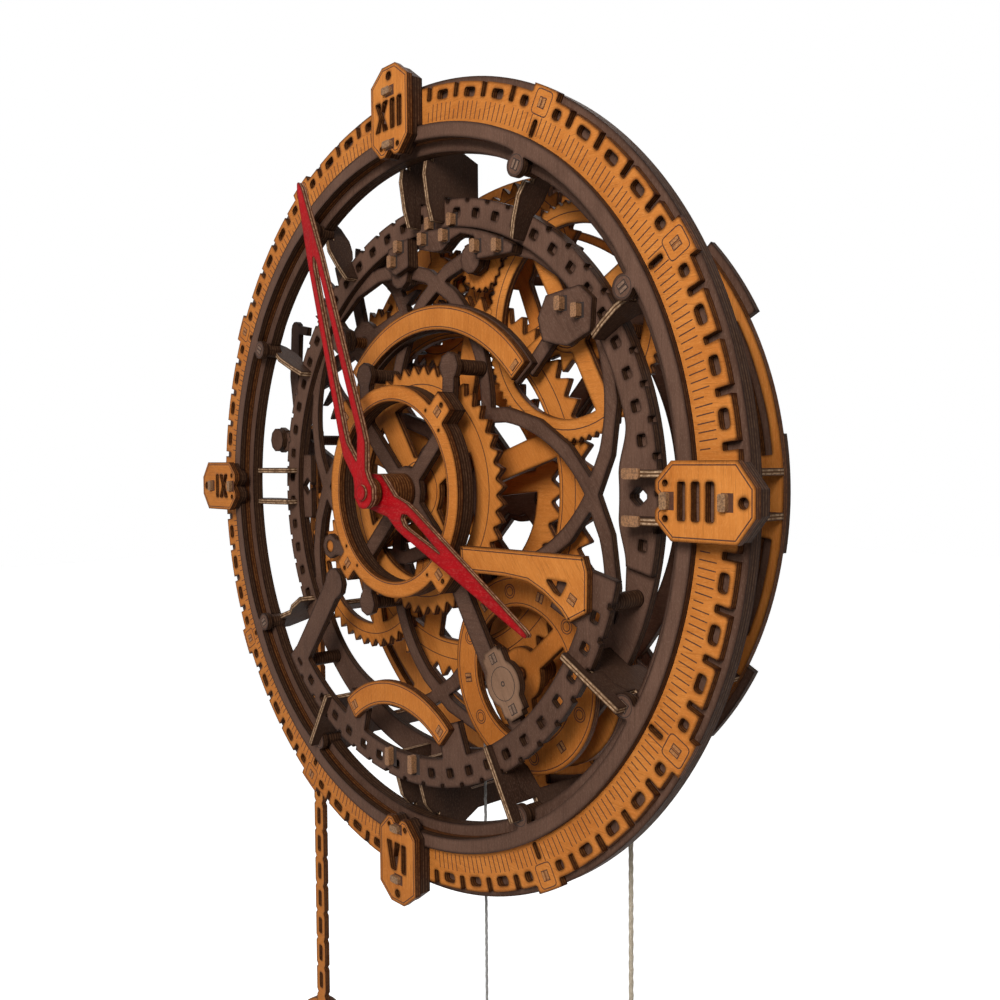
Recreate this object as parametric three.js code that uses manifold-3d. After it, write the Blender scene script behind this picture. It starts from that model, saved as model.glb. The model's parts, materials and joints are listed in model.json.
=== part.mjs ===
// Wall clock of laser cut plywood with an open gear train.
// Millimetres, +Z up, dial facing -Y, back of the frame on the wall at Y = 0, clock axis through the origin.
// Depths are counted back from the front of the dial ring and angles marked clock run clockwise from XII.
import * as THREE from "three";
import { mergeVertices } from "three/addons/utils/BufferGeometryUtils.js";
import Module from "manifold-3d";

const wasm = await Module();
wasm.setup();

// Sheet and clearances
const PLY = 3;
const WHEEL_GAP = 1;
const RUN_GAP = 0.05;
const SIDE_GAP = 0.3;
const CHANNEL_GAP = 0.8;
const END_GAP = 0.3;
const JOIN = 0.5;

// Depth of each layer, front to back
const DIAL_FRONT = 0;
const BACKING_FRONT = DIAL_FRONT + PLY;
const BACKING_REAR = BACKING_FRONT + 2 * PLY;
const BEZEL_FRONT = DIAL_FRONT - PLY;
const BLOCK_FRONT = DIAL_FRONT - 2 * PLY;
const NUMERAL_FRONT = BLOCK_FRONT - PLY;
const BRIDGE_FRONT = -2;
const BRIDGE_REAR = BRIDGE_FRONT + PLY;
const STACK_FRONT = BRIDGE_FRONT - 2 * PLY;
const TRIM_FRONT = STACK_FRONT - PLY;
const ARC_FRONT = BRIDGE_FRONT - PLY;
const PLAQUE_FRONT = ARC_FRONT - PLY;
const HOUR_WHEEL_FRONT = 6;
const RIM_FRONT = 15;
const MOVEMENT_FRONT = RIM_FRONT + PLY;
const MOVEMENT_REAR = MOVEMENT_FRONT + PLY;
const DISC_FRONT = MOVEMENT_FRONT - WHEEL_GAP - PLY;
const MOTION_FRONT = MOVEMENT_REAR + WHEEL_GAP;
const CENTRE_FRONT = MOTION_FRONT + PLY + WHEEL_GAP;
const ESCAPE_FRONT = CENTRE_FRONT + PLY + 2 * WHEEL_GAP;
const THIRD_FRONT = MOTION_FRONT;
const FIFTH_FRONT = ESCAPE_FRONT + 2 * PLY + 3 * WHEEL_GAP;
const DRIVE_FRONT = FIFTH_FRONT + 2 * WHEEL_GAP;
const FOURTH_FRONT = DRIVE_FRONT + PLY;
const BACK_FRONT = 70;
const FRAME_FRONT = BACK_FRONT + PLY;
const WALL_DEPTH = FRAME_FRONT + PLY;
const HOUR_HAND_FRONT = -19;
const MINUTE_HAND_FRONT = -26;

// Dial. Sizes in its plane are given for the drawn radius and follow the dial's own
const DRAWN_RADIUS = 183.6;
const DIAL_OUTER = 183.6;
const plan = (size) => (size * DIAL_OUTER) / DRAWN_RADIUS;
const DIAL_INNER = plan(160);
const DIAL_STEPS = 60;
const RING_STEPS = 40;
const NOTCH_DEPTH = plan(6.2);
const NOTCH_WIDE = plan(3);
const LUG_OUTER = plan(187);
const LUG_WIDE = plan(15);
const DIAL_HOLE_LONG = plan(7.2);
const DIAL_HOLE_TALL = plan(4);
const DIAL_HOLE_RADIUS = plan(179.2);
const DIAL_SLOT_INNER = plan(167);
const DIAL_SLOT_OUTER = plan(174);
const DIAL_SLOT_WIDE = plan(2.5);
const BACKING_OUTER = plan(186.3);
const BACKING_INNER = plan(155);
const BOSS_RADIUS = plan(5);
const BOSS_CORE = plan(3.8);
const BOSS_NECK = plan(7);
const BOSS_PLACE = plan(155.4);
const BEZEL_INNER = DIAL_INNER;
const BEZEL_OUTER = plan(166.5);
const NUMERAL_PLACE = plan(175);
const NUMERAL_LONG = plan(41);
const NUMERAL_WIDE = plan(28);
const NUMERAL_CHAMFER = plan(7);
const NUMERAL_NOTCH = plan(3.5);
const NUMERAL_HOLE = plan(1.3);
const NUMERAL_END_HOLE = plan(2.05);
const LETTER_TALL = plan(13.5);
const STROKE = plan(3.2);
const BLOCK_INSET = 0.6;

// Movement frame
const RIM_INNER = plan(124);
const RIM_OUTER = plan(137);
const RIM_NOTCH_DEPTH = plan(1.8);
const RIM_NOTCH_WIDE = plan(2.6);
const RIM_HOLE_WIDE = plan(4.8);
const RIM_HOLE_TALL = plan(4.2);
const RIM_HOLE_PLACE = plan(130.6);
const RIM_FROM = 232;
const RIM_TO = 463;
const ARC_FROM = 103;
const ARC_TO = 228;
const BAND_RADIUS = plan(73);
const BAND_WIDE = plan(7);
const BAND_PLACE = plan(37.5);
const BEARING_RADIUS = plan(7.5);
const SIDE_LUG_WIDE = plan(36);
const SIDE_LUG_INNER = plan(115);
const SIDE_HOLE = plan(7);
const POST_RADIUS = plan(3.5);
const ARC_POST_PLACE = plan(130.5);
const ARC_POST_CLOCKS = [108, 224];
const ARM_END_X = -58;
const ARM_END_Z = -48.5;
const ARM_WIDE = plan(12.5);
const ARM_BOSS = plan(8);
const PLAQUE_SEATS = [
  [158, 166],
  [195, 203],
];

// Lugs inside the top of the rim, in radius and clock angle, and the span that seats each on the ring
const LUG_TOP = 123.3;
const UPPER_LUGS = [
  {
    from: -2.5,
    to: 29,
    outline: [
      [115.6, -2.8],
      [112.8, 3],
      [113.1, 6.1],
      [118, 9],
      [120.9, 12.1],
      [120.5, 16.6],
      [110.8, 19],
      [119.8, 29.7],
      [LUG_TOP, 29.4],
      [LUG_TOP, 22],
      [LUG_TOP, 15],
      [LUG_TOP, 8],
      [LUG_TOP, 2],
      [LUG_TOP, -2.8],
    ],
  },
  {
    from: -14,
    to: -7,
    outline: [
      [LUG_TOP, -14.3],
      [114.8, -16.5],
      [108.7, -13.2],
      [109.6, -7.4],
      [LUG_TOP, -6.7],
    ],
  },
];

// Pegs that stand on the lugs, the rim and the pad, in radius and clock angle
const PEG_TALL = plan(5.5);
const PEG_PROUD = 3;
const LUG_PEGS = [
  [120.8, -9.8],
  [115.5, -13],
  [119.5, -0.7],
  [119.6, 7],
  [116.3, 18.4],
  [119.8, 25.3],
];
const RIM_PEGS = [
  [126.9, 0.2],
  [127.2, 7.6],
];
const PAD_PEGS = [
  [118.9, 48.7],
  [123.7, 52.9],
];
const PAD_OUTLINE = [
  [80, 83],
  [99, 85],
  [106, 79],
  [105, 66],
  [92, 61],
  [78, 64],
  [75, 74],
];
const PAD_FOOT = plan(10);
const PAD_ARM = plan(7);
const COVER = plan(7);

// Struts
const STRUT_OUTER = plan(165);
const STRUT_END = 6.5;
const TOP_STRUT_REAR = FIFTH_FRONT - 4 * WHEEL_GAP;
const STRUT_INNER = plan(126);
const PAIR_HALF = plan(9);
const LEG_INNER = plan(147);
const LEG_OUTER = plan(157);
const LEFT_LEG_INNER = plan(139.5);
const LEFT_LEG_OUTER = plan(149);

// Bridge and plaques
const STACK_INNER = plan(42);
const STACK_OUTER = plan(49.5);
const STACK_LUG = plan(57);
const STACK_LUG_WIDE = plan(12);
const HUB_RADIUS = plan(12);
const SPOKE_WIDE = plan(8);
const POST_X = plan(32.7);
const POST_Z = plan(56.3);
const CAP_LONG = plan(31);
const CAP_WIDE = plan(13.5);
const CAP_RADIUS = plan(10.5);
const CAP_SHIFT = plan(8.5);
const CAP_ANGLE = -58;
const UPPER_INNER = plan(76.5);
const UPPER_OUTER = plan(88);
const UPPER_FROM = -46;
const UPPER_TO = 50;
const LOWER_SIDE = plan(-2);
const LOWER_CENTRE = plan(-152);
const LOWER_INNER = plan(50.5);
const LOWER_OUTER = plan(62);
const LOWER_HALF = 41;

// Train: teeth and modules, and the direction of each axis
const TIP_SHARE = 1;
const ROOT_SHARE = 1.25;
const ARBOR = 3;
const HUB = 6;
const COLLAR = 9;
const ARBOR_STEPS = 8;
const PIPE_RADIUS = 5.5;
const PIPE_SLEEVE = 8.5;
const CANNON_TEETH = 15;
const MOTION_TEETH = 45;
const MOTION_PINION_TEETH = 12;
const HOUR_TEETH = 48;
const FINE_MODULE = plan(2.4);
const CENTRE_TEETH = 57;
const THIRD_PINION_TEETH = 12;
const CENTRE_MODULE = plan(3.2);
const DRIVE_TEETH = 32;
const DRUM_TEETH = 24;
const DRIVE_MODULE = plan(3.6);
const THIRD_TEETH = 72;
const FOURTH_PINION_TEETH = 20;
const THIRD_MODULE = plan(1.4);
const FOURTH_TEETH = 32;
const FIFTH_PINION_TEETH = 13;
const FIFTH_TEETH = 36;
const ESCAPE_PINION_TEETH = 15;
const ESCAPE_TEETH = 30;
const ESCAPE_RADIUS = plan(56);
const ESCAPE_ROOT = plan(42);
const MOTION_ANGLE = 204.55;
const DRUM_ANGLE = -52.05;
const THIRD_ANGLE = 41.11;
const ESCAPE_X = plan(-80);
const ESCAPE_Z = plan(79);
const FIFTH_ANGLE = 27;
const ANCHOR_X = plan(-148);
const ANCHOR_Z = plan(27);

// Drum, cords, hands and pendulum
const DISC_RADIUS = plan(44);
const CORE_RADIUS = plan(43.9);
const CORE_NECK = plan(20);
const CORD_STEPS = 8;
const CORD_SIDES = 8;
const CORD_LEFT_RADIUS = 0.75;
const CORD_LEFT_END = -252;
const CORD_RIGHT_RADIUS = 1.1;
const CORD_RIGHT_END = -224;
const HOOK_SHANK = 6;
const HOOK_RADIUS = 4.4;
const HOOK_WIRE = 0.9;
const MINUTE_CLOCK = 340.8;
const HOUR_CLOCK = 118.4;
const MINUTE_LONG = plan(159);
const HOUR_LONG = plan(113);
const ROD_WIDE = 10;
const ROD_SLOT_PITCH = 17.3;
const ROD_NOTCH_TOP = -110;
const BOB_PLACE = -358;
const BOB_RADIUS = 34;
const PALLET_GAP = 3.6;

// Back
const BACK_OUTER = plan(157);
const BACK_INNER = plan(128);
const BACK_RING_OUTER = plan(112.5);
const BACK_RING_INNER = plan(103.5);
const BACK_SLOT_INNER = plan(147.5);
const BACK_SLOT_OUTER = plan(152.5);
const BACK_WINDOW_INNER = plan(132);
const BACK_WINDOW_OUTER = plan(143);
const BACK_SPOKE = plan(10);
const BACK_BOSS = plan(8.5);
const BACK_HUB = plan(15);
const FRAME_OUTER = plan(155.5);
const FRAME_BUMP = plan(160);
const FRAME_EAR = plan(165);
const FRAME_INNER = plan(147);
const FRAME_HUB = plan(18);
const FRAME_ARM = plan(14);

// Materials
const paint = (color) => new THREE.MeshStandardMaterial({ color, roughness: 0.7 });
const ORANGE = paint(0xc47a2e);
const BROWN = paint(0x4a3428);
const RED = paint(0xb51f1c);
const CORD = paint(0xcdbf9f);
const STEEL = paint(0x8d8f92);

const rad = (degrees) => (degrees * Math.PI) / 180;
const point = (x, z) => new THREE.Vector2(x, z);
const byClock = (radius, clock) => point(radius * Math.sin(rad(clock)), radius * Math.cos(rad(clock)));
const byAngle = (centre, radius, angle) =>
  point(centre.x + radius * Math.cos(angle), centre.y + radius * Math.sin(angle));

// Solids: extruded plates, rods along the clock axis, joins and cuts

function sheet(outline, front, thick) {
  const shape = new THREE.Shape(outline);
  const made = new THREE.ExtrudeGeometry(shape, { depth: thick, bevelEnabled: false, steps: 1 });
  made.rotateX(Math.PI / 2);
  made.translate(0, front + thick - WALL_DEPTH, 0);
  return made;
}

function plate(outline, holes, front, thick = PLY) {
  const blank = sheet(outline, front, thick);
  return holes.length ? cut(blank, ...holes.map((path) => sheet(path, front - 1, thick + 2))) : blank;
}

function rod(centre, radius, front, rear, steps = ARBOR_STEPS) {
  const made = new THREE.CylinderGeometry(radius, radius, rear - front, steps);
  made.translate(centre.x, (front + rear) / 2 - WALL_DEPTH, centre.y);
  return made;
}

function solidOf(geometry) {
  const bare = new THREE.BufferGeometry();
  const open = geometry.index ? geometry.toNonIndexed() : geometry;
  bare.setAttribute("position", open.getAttribute("position"));
  const merged = mergeVertices(bare, 1e-3);
  const triVerts = new Uint32Array(merged.index.array);
  const vertProperties = merged.getAttribute("position").array;
  return new wasm.Manifold(new wasm.Mesh({ numProp: 3, vertProperties, triVerts }));
}

function geometryOf(solid) {
  const mesh = solid.getMesh();
  const made = new THREE.BufferGeometry();
  made.setAttribute("position", new THREE.BufferAttribute(mesh.vertProperties, 3));
  made.setIndex(new THREE.BufferAttribute(mesh.triVerts, 1));
  return made;
}

const join = (...pieces) => geometryOf(wasm.Manifold.union(pieces.map(solidOf)));
const cut = (base, ...tools) => geometryOf(solidOf(base).subtract(wasm.Manifold.union(tools.map(solidOf))));

// Outlines

function circle(centre, radius, steps, start = 0) {
  const path = [];
  for (let i = 0; i < steps; i += 1) {
    path.push(byAngle(centre, radius, start + (2 * Math.PI * i) / steps));
  }
  return path;
}

function arc(radius, from, to, steps) {
  const path = [];
  for (let i = 0; i <= steps; i += 1) {
    path.push(byClock(radius, from + ((to - from) * i) / steps));
  }
  return path;
}

function box(centre, long, wide, angle) {
  const along = point(Math.cos(angle), Math.sin(angle));
  const across = point(-along.y, along.x);
  return [
    [-1, -1],
    [1, -1],
    [1, 1],
    [-1, 1],
  ].map(([a, b]) =>
    point(
      centre.x + (a * long * along.x + b * wide * across.x) / 2,
      centre.y + (a * long * along.y + b * wide * across.y) / 2,
    ),
  );
}

function bar(start, end, wide) {
  const middle = point((start.x + end.x) / 2, (start.y + end.y) / 2);
  const long = Math.hypot(end.x - start.x, end.y - start.y);
  return box(middle, long, wide, Math.atan2(end.y - start.y, end.x - start.x));
}

const radialBox = (radius, clock, tall, wide) => box(byClock(radius, clock), tall, wide, rad(90 - clock));
const sector = (inner, outer, from, to, steps) => [
  ...arc(outer, from, to, steps),
  ...arc(inner, to, from, steps),
];

// A toothed outline with straight flanks, pointed tips and room at the roots
function toothed(centre, teeth, module, phase) {
  const pitch = (teeth * module) / 2;
  const path = [];
  for (let i = 0; i < teeth; i += 1) {
    const middle = phase + (2 * Math.PI * i) / teeth;
    path.push(byAngle(centre, pitch - ROOT_SHARE * module, middle - Math.PI / teeth));
    path.push(byAngle(centre, pitch + TIP_SHARE * module, middle));
  }
  return path;
}

// Windows between straight sided spokes
function windows(centre, count, inner, outer, spoke, phase, steps) {
  const paths = [];
  for (let i = 0; i < count; i += 1) {
    const from = phase + (2 * Math.PI * i) / count;
    const to = phase + (2 * Math.PI * (i + 1)) / count;
    const path = [];
    for (let k = 0; k <= steps; k += 1) {
      const edge = spoke / 2 / outer;
      path.push(byAngle(centre, outer, from + edge + ((to - from - 2 * edge) * k) / steps));
    }
    for (let k = 0; k <= 2; k += 1) {
      const edge = spoke / 2 / inner;
      path.push(byAngle(centre, inner, to - edge - ((to - from - 2 * edge) * k) / 2));
    }
    paths.push(path);
  }
  return paths;
}

const ringOfHoles = (centre, count, place, radius, phase, steps) =>
  Array.from({ length: count }, (_, i) =>
    circle(byAngle(centre, place, phase + (2 * Math.PI * i) / count), radius, steps),
  );

const bore = (centre, radius = ARBOR) =>
  circle(centre, (radius + RUN_GAP) / Math.cos(Math.PI / ARBOR_STEPS), ARBOR_STEPS, Math.PI / 2);

// Axes of the train, each from the teeth that mesh
const span = (a, b, module) => ((a + b) * module) / 2;
const CENTRE = point(0, 0);
const MOTION = byAngle(CENTRE, span(CANNON_TEETH, MOTION_TEETH, FINE_MODULE), rad(MOTION_ANGLE));
const DRUM = byAngle(CENTRE, span(DRIVE_TEETH, DRUM_TEETH, DRIVE_MODULE), rad(DRUM_ANGLE));
const THIRD = byAngle(CENTRE, span(CENTRE_TEETH, THIRD_PINION_TEETH, CENTRE_MODULE), rad(THIRD_ANGLE));
const ESCAPE = point(ESCAPE_X, ESCAPE_Z);
const FIFTH = byAngle(ESCAPE, span(FIFTH_TEETH, ESCAPE_PINION_TEETH, FINE_MODULE), rad(FIFTH_ANGLE));
const FOURTH = meeting(
  THIRD,
  span(THIRD_TEETH, FOURTH_PINION_TEETH, THIRD_MODULE),
  FIFTH,
  span(FOURTH_TEETH, FIFTH_PINION_TEETH, FINE_MODULE),
);
const ANCHOR = point(ANCHOR_X, ANCHOR_Z);

// The upper of the two points at given distances from two centres
function meeting(a, toA, b, toB) {
  const apart = a.distanceTo(b);
  const along = (toA * toA - toB * toB + apart * apart) / (2 * apart);
  const off = Math.sqrt(toA * toA - along * along);
  const unit = point((b.x - a.x) / apart, (b.y - a.y) / apart);
  const one = point(a.x + along * unit.x - off * unit.y, a.y + along * unit.y + off * unit.x);
  const two = point(a.x + along * unit.x + off * unit.y, a.y + along * unit.y - off * unit.x);
  return one.y > two.y ? one : two;
}

// Phase that puts the follower's gap where the leader's tooth points
function meshed(leader, leaderTeeth, leaderPhase, follower, followerTeeth) {
  const line = Math.atan2(follower.y - leader.y, follower.x - leader.x);
  const share = ((leaderPhase - line) * leaderTeeth) / (2 * Math.PI);
  return line + Math.PI + ((0.5 - share) * 2 * Math.PI) / followerTeeth;
}

const CENTRE_PHASE = 0;
const THIRD_PHASE = meshed(CENTRE, CENTRE_TEETH, CENTRE_PHASE, THIRD, THIRD_PINION_TEETH);
const FOURTH_PHASE = meshed(THIRD, THIRD_TEETH, THIRD_PHASE, FOURTH, FOURTH_PINION_TEETH);
const FIFTH_PHASE = meshed(FOURTH, FOURTH_TEETH, FOURTH_PHASE, FIFTH, FIFTH_PINION_TEETH);
const ESCAPE_PHASE = meshed(FIFTH, FIFTH_TEETH, FIFTH_PHASE, ESCAPE, ESCAPE_PINION_TEETH);
const DRUM_PHASE = meshed(CENTRE, DRIVE_TEETH, CENTRE_PHASE, DRUM, DRUM_TEETH);
const MOTION_PHASE = meshed(CENTRE, CANNON_TEETH, CENTRE_PHASE, MOTION, MOTION_TEETH);
const HOUR_PHASE = meshed(MOTION, MOTION_PINION_TEETH, MOTION_PHASE, CENTRE, HOUR_TEETH);

const clock = new THREE.Group();
clock.name = "gear_clock";
function add(name, geometry, material) {
  const mesh = new THREE.Mesh(geometry, material);
  mesh.name = name;
  clock.add(mesh);
  return mesh;
}

// Dial ring with edge notches, holes, hour lugs and slots
const HOURS = [30, 60, 120, 150, 210, 240, 300, 330];
const QUARTERS = [0, 90, 180, 270];

function dialOutline() {
  const path = [];
  const put = (radius, middle, half) => {
    const turn = (half / DIAL_OUTER) * (180 / Math.PI);
    path.push(byClock(DIAL_OUTER, middle - turn));
    path.push(byClock(radius, middle - turn));
    path.push(byClock(radius, middle + turn));
    path.push(byClock(DIAL_OUTER, middle + turn));
  };
  for (let i = 0; i < DIAL_STEPS; i += 1) {
    const middle = (360 * i) / DIAL_STEPS;
    if (HOURS.includes(middle)) {
      put(LUG_OUTER, middle, LUG_WIDE / 2);
    } else if (QUARTERS.includes(middle)) {
      path.push(byClock(DIAL_OUTER, middle));
    } else {
      put(DIAL_OUTER - NOTCH_DEPTH, middle, NOTCH_WIDE / 2);
    }
  }
  return path;
}

function dialHoles() {
  const paths = [circle(CENTRE, DIAL_INNER, RING_STEPS)];
  for (let i = 0; i < DIAL_STEPS; i += 1) {
    const middle = (360 * (i + 0.5)) / DIAL_STEPS;
    const near = (angles) => angles.some((a) => Math.abs(((middle - a + 540) % 360) - 180) < 5);
    if (!near(QUARTERS)) {
      const long = near(HOURS) ? DIAL_HOLE_LONG * 0.65 : DIAL_HOLE_LONG;
      const shift = near(HOURS) ? Math.sign(((middle + 15) % 30) - 15) * 0.35 : 0;
      paths.push(radialBox(DIAL_HOLE_RADIUS, middle + shift, DIAL_HOLE_TALL, long));
    }
  }
  const slotPlace = (DIAL_SLOT_INNER + DIAL_SLOT_OUTER) / 2;
  HOURS.forEach((hour) =>
    paths.push(radialBox(slotPlace, hour, DIAL_SLOT_OUTER - DIAL_SLOT_INNER, DIAL_SLOT_WIDE)),
  );
  return paths;
}

add("dial_ring", plate(dialOutline(), dialHoles(), DIAL_FRONT), ORANGE);

const backingRing = plate(
  circle(CENTRE, BACKING_OUTER, RING_STEPS),
  [circle(CENTRE, BACKING_INNER, RING_STEPS)],
  BACKING_FRONT,
  2 * PLY,
);
const bosses = HOURS.map((hour) =>
  rod(byClock(BOSS_PLACE, hour), BOSS_CORE, DIAL_FRONT, BACKING_REAR, 8),
);
add("backing_ring", join(backingRing, ...bosses), BROWN);

const bezelOuter = circle(CENTRE, BEZEL_OUTER, RING_STEPS);
const bezelRing = plate(bezelOuter, [circle(CENTRE, BEZEL_INNER, RING_STEPS)], BEZEL_FRONT);
const bezelEars = HOURS.flatMap((hour) => {
  const reach = BEZEL_INNER + JOIN * 2 - BOSS_PLACE;
  return [
    plate(circle(byClock(BOSS_PLACE, hour), BOSS_RADIUS, 12), [], BEZEL_FRONT),
    plate(radialBox(BOSS_PLACE + reach / 2, hour, reach, BOSS_NECK), [], BEZEL_FRONT),
  ];
});
add("bezel_ring", join(bezelRing, ...bezelEars), BROWN);

// Numeral plates: outline in radial and sideways steps, letters upright
function numeralOutline(inset) {
  const long = NUMERAL_LONG / 2 - inset;
  const wide = NUMERAL_WIDE / 2 - inset;
  const corner = NUMERAL_CHAMFER;
  const end = wide - corner;
  return [
    [-long, -end],
    [-long, -NUMERAL_NOTCH],
    [-long + NUMERAL_NOTCH, 0],
    [-long, NUMERAL_NOTCH],
    [-long, end],
    [-long + corner, wide],
    [long - corner, wide],
    [long, end - 2],
    [long, -end + 2],
    [long - corner, -wide],
    [-long + corner, -wide],
  ];
}

const stroke = (x) => box(point(x, 0), STROKE, LETTER_TALL, 0);

function letterX(x, wide) {
  const tall = LETTER_TALL / 2;
  const half = wide / 2;
  const foot = STROKE * 0.62;
  const waist = foot * 0.9;
  return [
    [-half - foot, tall],
    [-half + foot, tall],
    [0, waist],
    [half - foot, tall],
    [half + foot, tall],
    [waist, 0],
    [half + foot, -tall],
    [half - foot, -tall],
    [0, -waist],
    [-half + foot, -tall],
    [-half - foot, -tall],
    [-waist, 0],
  ].map(([a, b]) => point(x + a, b));
}

function letterV(x, wide) {
  const tall = LETTER_TALL / 2;
  const half = wide / 2;
  const foot = STROKE * 0.62;
  return [
    [-half - foot, tall],
    [-half + foot, tall],
    [0, -tall + 4.5],
    [half - foot, tall],
    [half + foot, tall],
    [foot, -tall],
    [-foot, -tall],
  ].map(([a, b]) => point(x + a, b));
}

const LETTERS = {
  0: [letterX(-5.6, 6), stroke(2.6), stroke(7.8)],
  90: [stroke(-5.9), stroke(0), stroke(5.9)],
  180: [letterV(-3, 6.4), stroke(5)],
  270: [stroke(-5.2), letterX(2.6, 6)],
};

// The letters sit a little inwards of the middle of their plate
const LETTER_SHIFT = { 0: 1.7, 90: 3.3, 180: 1.7, 270: 3.3 };

QUARTERS.forEach((hour, i) => {
  const middle = byClock(NUMERAL_PLACE, hour);
  const out = byClock(1, hour);
  const side = point(out.y, -out.x);
  const place = ([a, b]) => point(middle.x + a * out.x + b * side.x, middle.y + a * out.y + b * side.y);
  const home = byClock(NUMERAL_PLACE - LETTER_SHIFT[hour], hour);
  const holes = LETTERS[hour].map((path) => path.map((p) => point(p.x + home.x, p.y + home.y)));
  [
    [-NUMERAL_LONG / 2 + 4.4, 6.2, NUMERAL_HOLE],
    [-NUMERAL_LONG / 2 + 4.4, -6.2, NUMERAL_HOLE],
    [NUMERAL_LONG / 2 - 4.7, 0, NUMERAL_END_HOLE],
  ].forEach(([a, b, radius]) => holes.push(circle(place([a, b]), radius, 8)));
  const name = [12, 3, 6, 9][i];
  add(`numeral_plate_${name}`, plate(numeralOutline(0).map(place), holes, NUMERAL_FRONT), ORANGE);
  const block = plate(numeralOutline(BLOCK_INSET).map(place), [], BLOCK_FRONT, 2 * PLY);
  const channel = plate(
    sector(BEZEL_INNER - CHANNEL_GAP, BEZEL_OUTER + CHANNEL_GAP, hour - 8, hour + 8, 4),
    [],
    BEZEL_FRONT,
    PLY + 1,
  );
  const bossRoom = plate(circle(CENTRE, DIAL_INNER - SIDE_GAP, DIAL_STEPS), [], DIAL_FRONT - 1, 2);
  add(`numeral_block_${name}`, cut(block, channel, bossRoom), BROWN);
});

// Struts: outlines in radius and depth, cut from sheet and set on edge

function strut(name, clockAngle, offset, outline) {
  const shape = new THREE.Shape(outline.map(([r, d]) => point(r, d - WALL_DEPTH)));
  const made = new THREE.ExtrudeGeometry(shape, { depth: PLY, bevelEnabled: false, steps: 1 });
  made.translate(0, 0, offset - PLY / 2);
  add(name, made, BROWN).rotation.y = rad(clockAngle - 90);
}

// The front of a bracket that stops on the movement rim
const strutFront = (clear) => [
  [STRUT_OUTER, BACKING_REAR],
  [clear, BACKING_REAR],
  [clear, BACKING_FRONT + 2],
  [clear - 6, BACKING_FRONT + 1],
  [STRUT_INNER + 8, BACKING_FRONT + 3],
  [STRUT_INNER, RIM_FRONT - STRUT_END],
  [STRUT_INNER, RIM_FRONT],
];
const shortStrut = (clear) => [
  ...strutFront(clear),
  [RIM_OUTER, RIM_FRONT],
  [RIM_OUTER + 2, RIM_FRONT + 1.5],
  [RIM_OUTER + 7, MOVEMENT_FRONT],
  [RIM_OUTER + 14, MOVEMENT_FRONT + 0.5],
  [STRUT_OUTER - 6, RIM_FRONT + 1],
  [STRUT_OUTER, BACKING_REAR + 2],
];

// The same bracket with a deep back beside the rim
const topStrut = (clear) => [
  ...strutFront(clear),
  [RIM_OUTER + 1, RIM_FRONT],
  [RIM_OUTER + 1, TOP_STRUT_REAR],
  [STRUT_OUTER - 8, TOP_STRUT_REAR],
  [STRUT_OUTER, BACKING_REAR + 6],
];

// A bracket with a leg to the back ring, its inner end from one depth to another
const longStrut = (clear, front, rear, legInner, legOuter) => [
  [STRUT_OUTER, BACKING_REAR],
  [clear, BACKING_REAR],
  [clear, BACKING_FRONT + 2],
  [clear - 5, front + 3],
  [RIM_OUTER, front],
  [STRUT_INNER, front],
  [STRUT_INNER, rear],
  [RIM_OUTER + 1, rear],
  [RIM_OUTER + 1, MOVEMENT_REAR + 2],
  [legInner, MOVEMENT_REAR + 8],
  [legInner, BACK_FRONT],
  [legOuter, BACK_FRONT],
  [legOuter, MOVEMENT_REAR + 12],
  [STRUT_OUTER, MOVEMENT_FRONT],
];

// A bracket that keeps in front of the drum's disc inside the leg
const drumStrut = (clear) => [
  [STRUT_OUTER, BACKING_REAR],
  [clear, BACKING_REAR],
  [clear, BACKING_FRONT + 2],
  [clear - 5, BRIDGE_FRONT + 3],
  [RIM_OUTER, BRIDGE_FRONT],
  [STRUT_INNER, BRIDGE_FRONT],
  [STRUT_INNER + 2, BRIDGE_FRONT + 6],
  [RIM_OUTER, DISC_FRONT - 4],
  [LEG_INNER, DISC_FRONT - 1.5],
  [LEG_INNER, BACK_FRONT],
  [LEG_OUTER, BACK_FRONT],
  [LEG_OUTER, MOVEMENT_REAR + 12],
  [STRUT_OUTER, MOVEMENT_FRONT],
];

const BOSS_CLEAR = BOSS_PLACE - BOSS_RADIUS - SIDE_GAP;
const RING_CLEAR = BACKING_INNER - 2;
[
  [1, 30],
  [2, 60],
  [10, 300],
  [11, 330],
].forEach(([hour, turn]) => strut(`strut_${hour}`, turn, 0, shortStrut(BOSS_CLEAR)));
[
  [4, 120],
  [7, 210],
].forEach(([hour, turn]) =>
  strut(`strut_${hour}`, turn, 0, longStrut(BOSS_CLEAR, BRIDGE_FRONT, MOVEMENT_FRONT, LEG_INNER, LEG_OUTER)),
);
strut("strut_5", 150, 0, drumStrut(BOSS_CLEAR));
const leftStrut = longStrut(BOSS_CLEAR, BACKING_FRONT + 3, RIM_FRONT, LEFT_LEG_INNER, LEFT_LEG_OUTER);
strut("strut_8", 240, 0, leftStrut);
[-1, 1].forEach((way) => {
  const side = way < 0 ? "a" : "b";
  strut(`strut_12${side}`, 0, way * PAIR_HALF, topStrut(RING_CLEAR));
  strut(`strut_9${side}`, 270, way * PAIR_HALF, shortStrut(RING_CLEAR));
  const right = longStrut(RING_CLEAR, BACKING_FRONT + 3, RIM_FRONT, LEG_INNER, LEG_OUTER);
  strut(`strut_3${side}`, 90, way * PAIR_HALF, right);
  const lower = longStrut(RING_CLEAR, BRIDGE_FRONT, MOVEMENT_FRONT, LEG_INNER, LEG_OUTER);
  strut(`strut_6${side}`, 180, way * PAIR_HALF, lower);
});

// Notched rim of the movement and the arc in front of it

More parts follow.
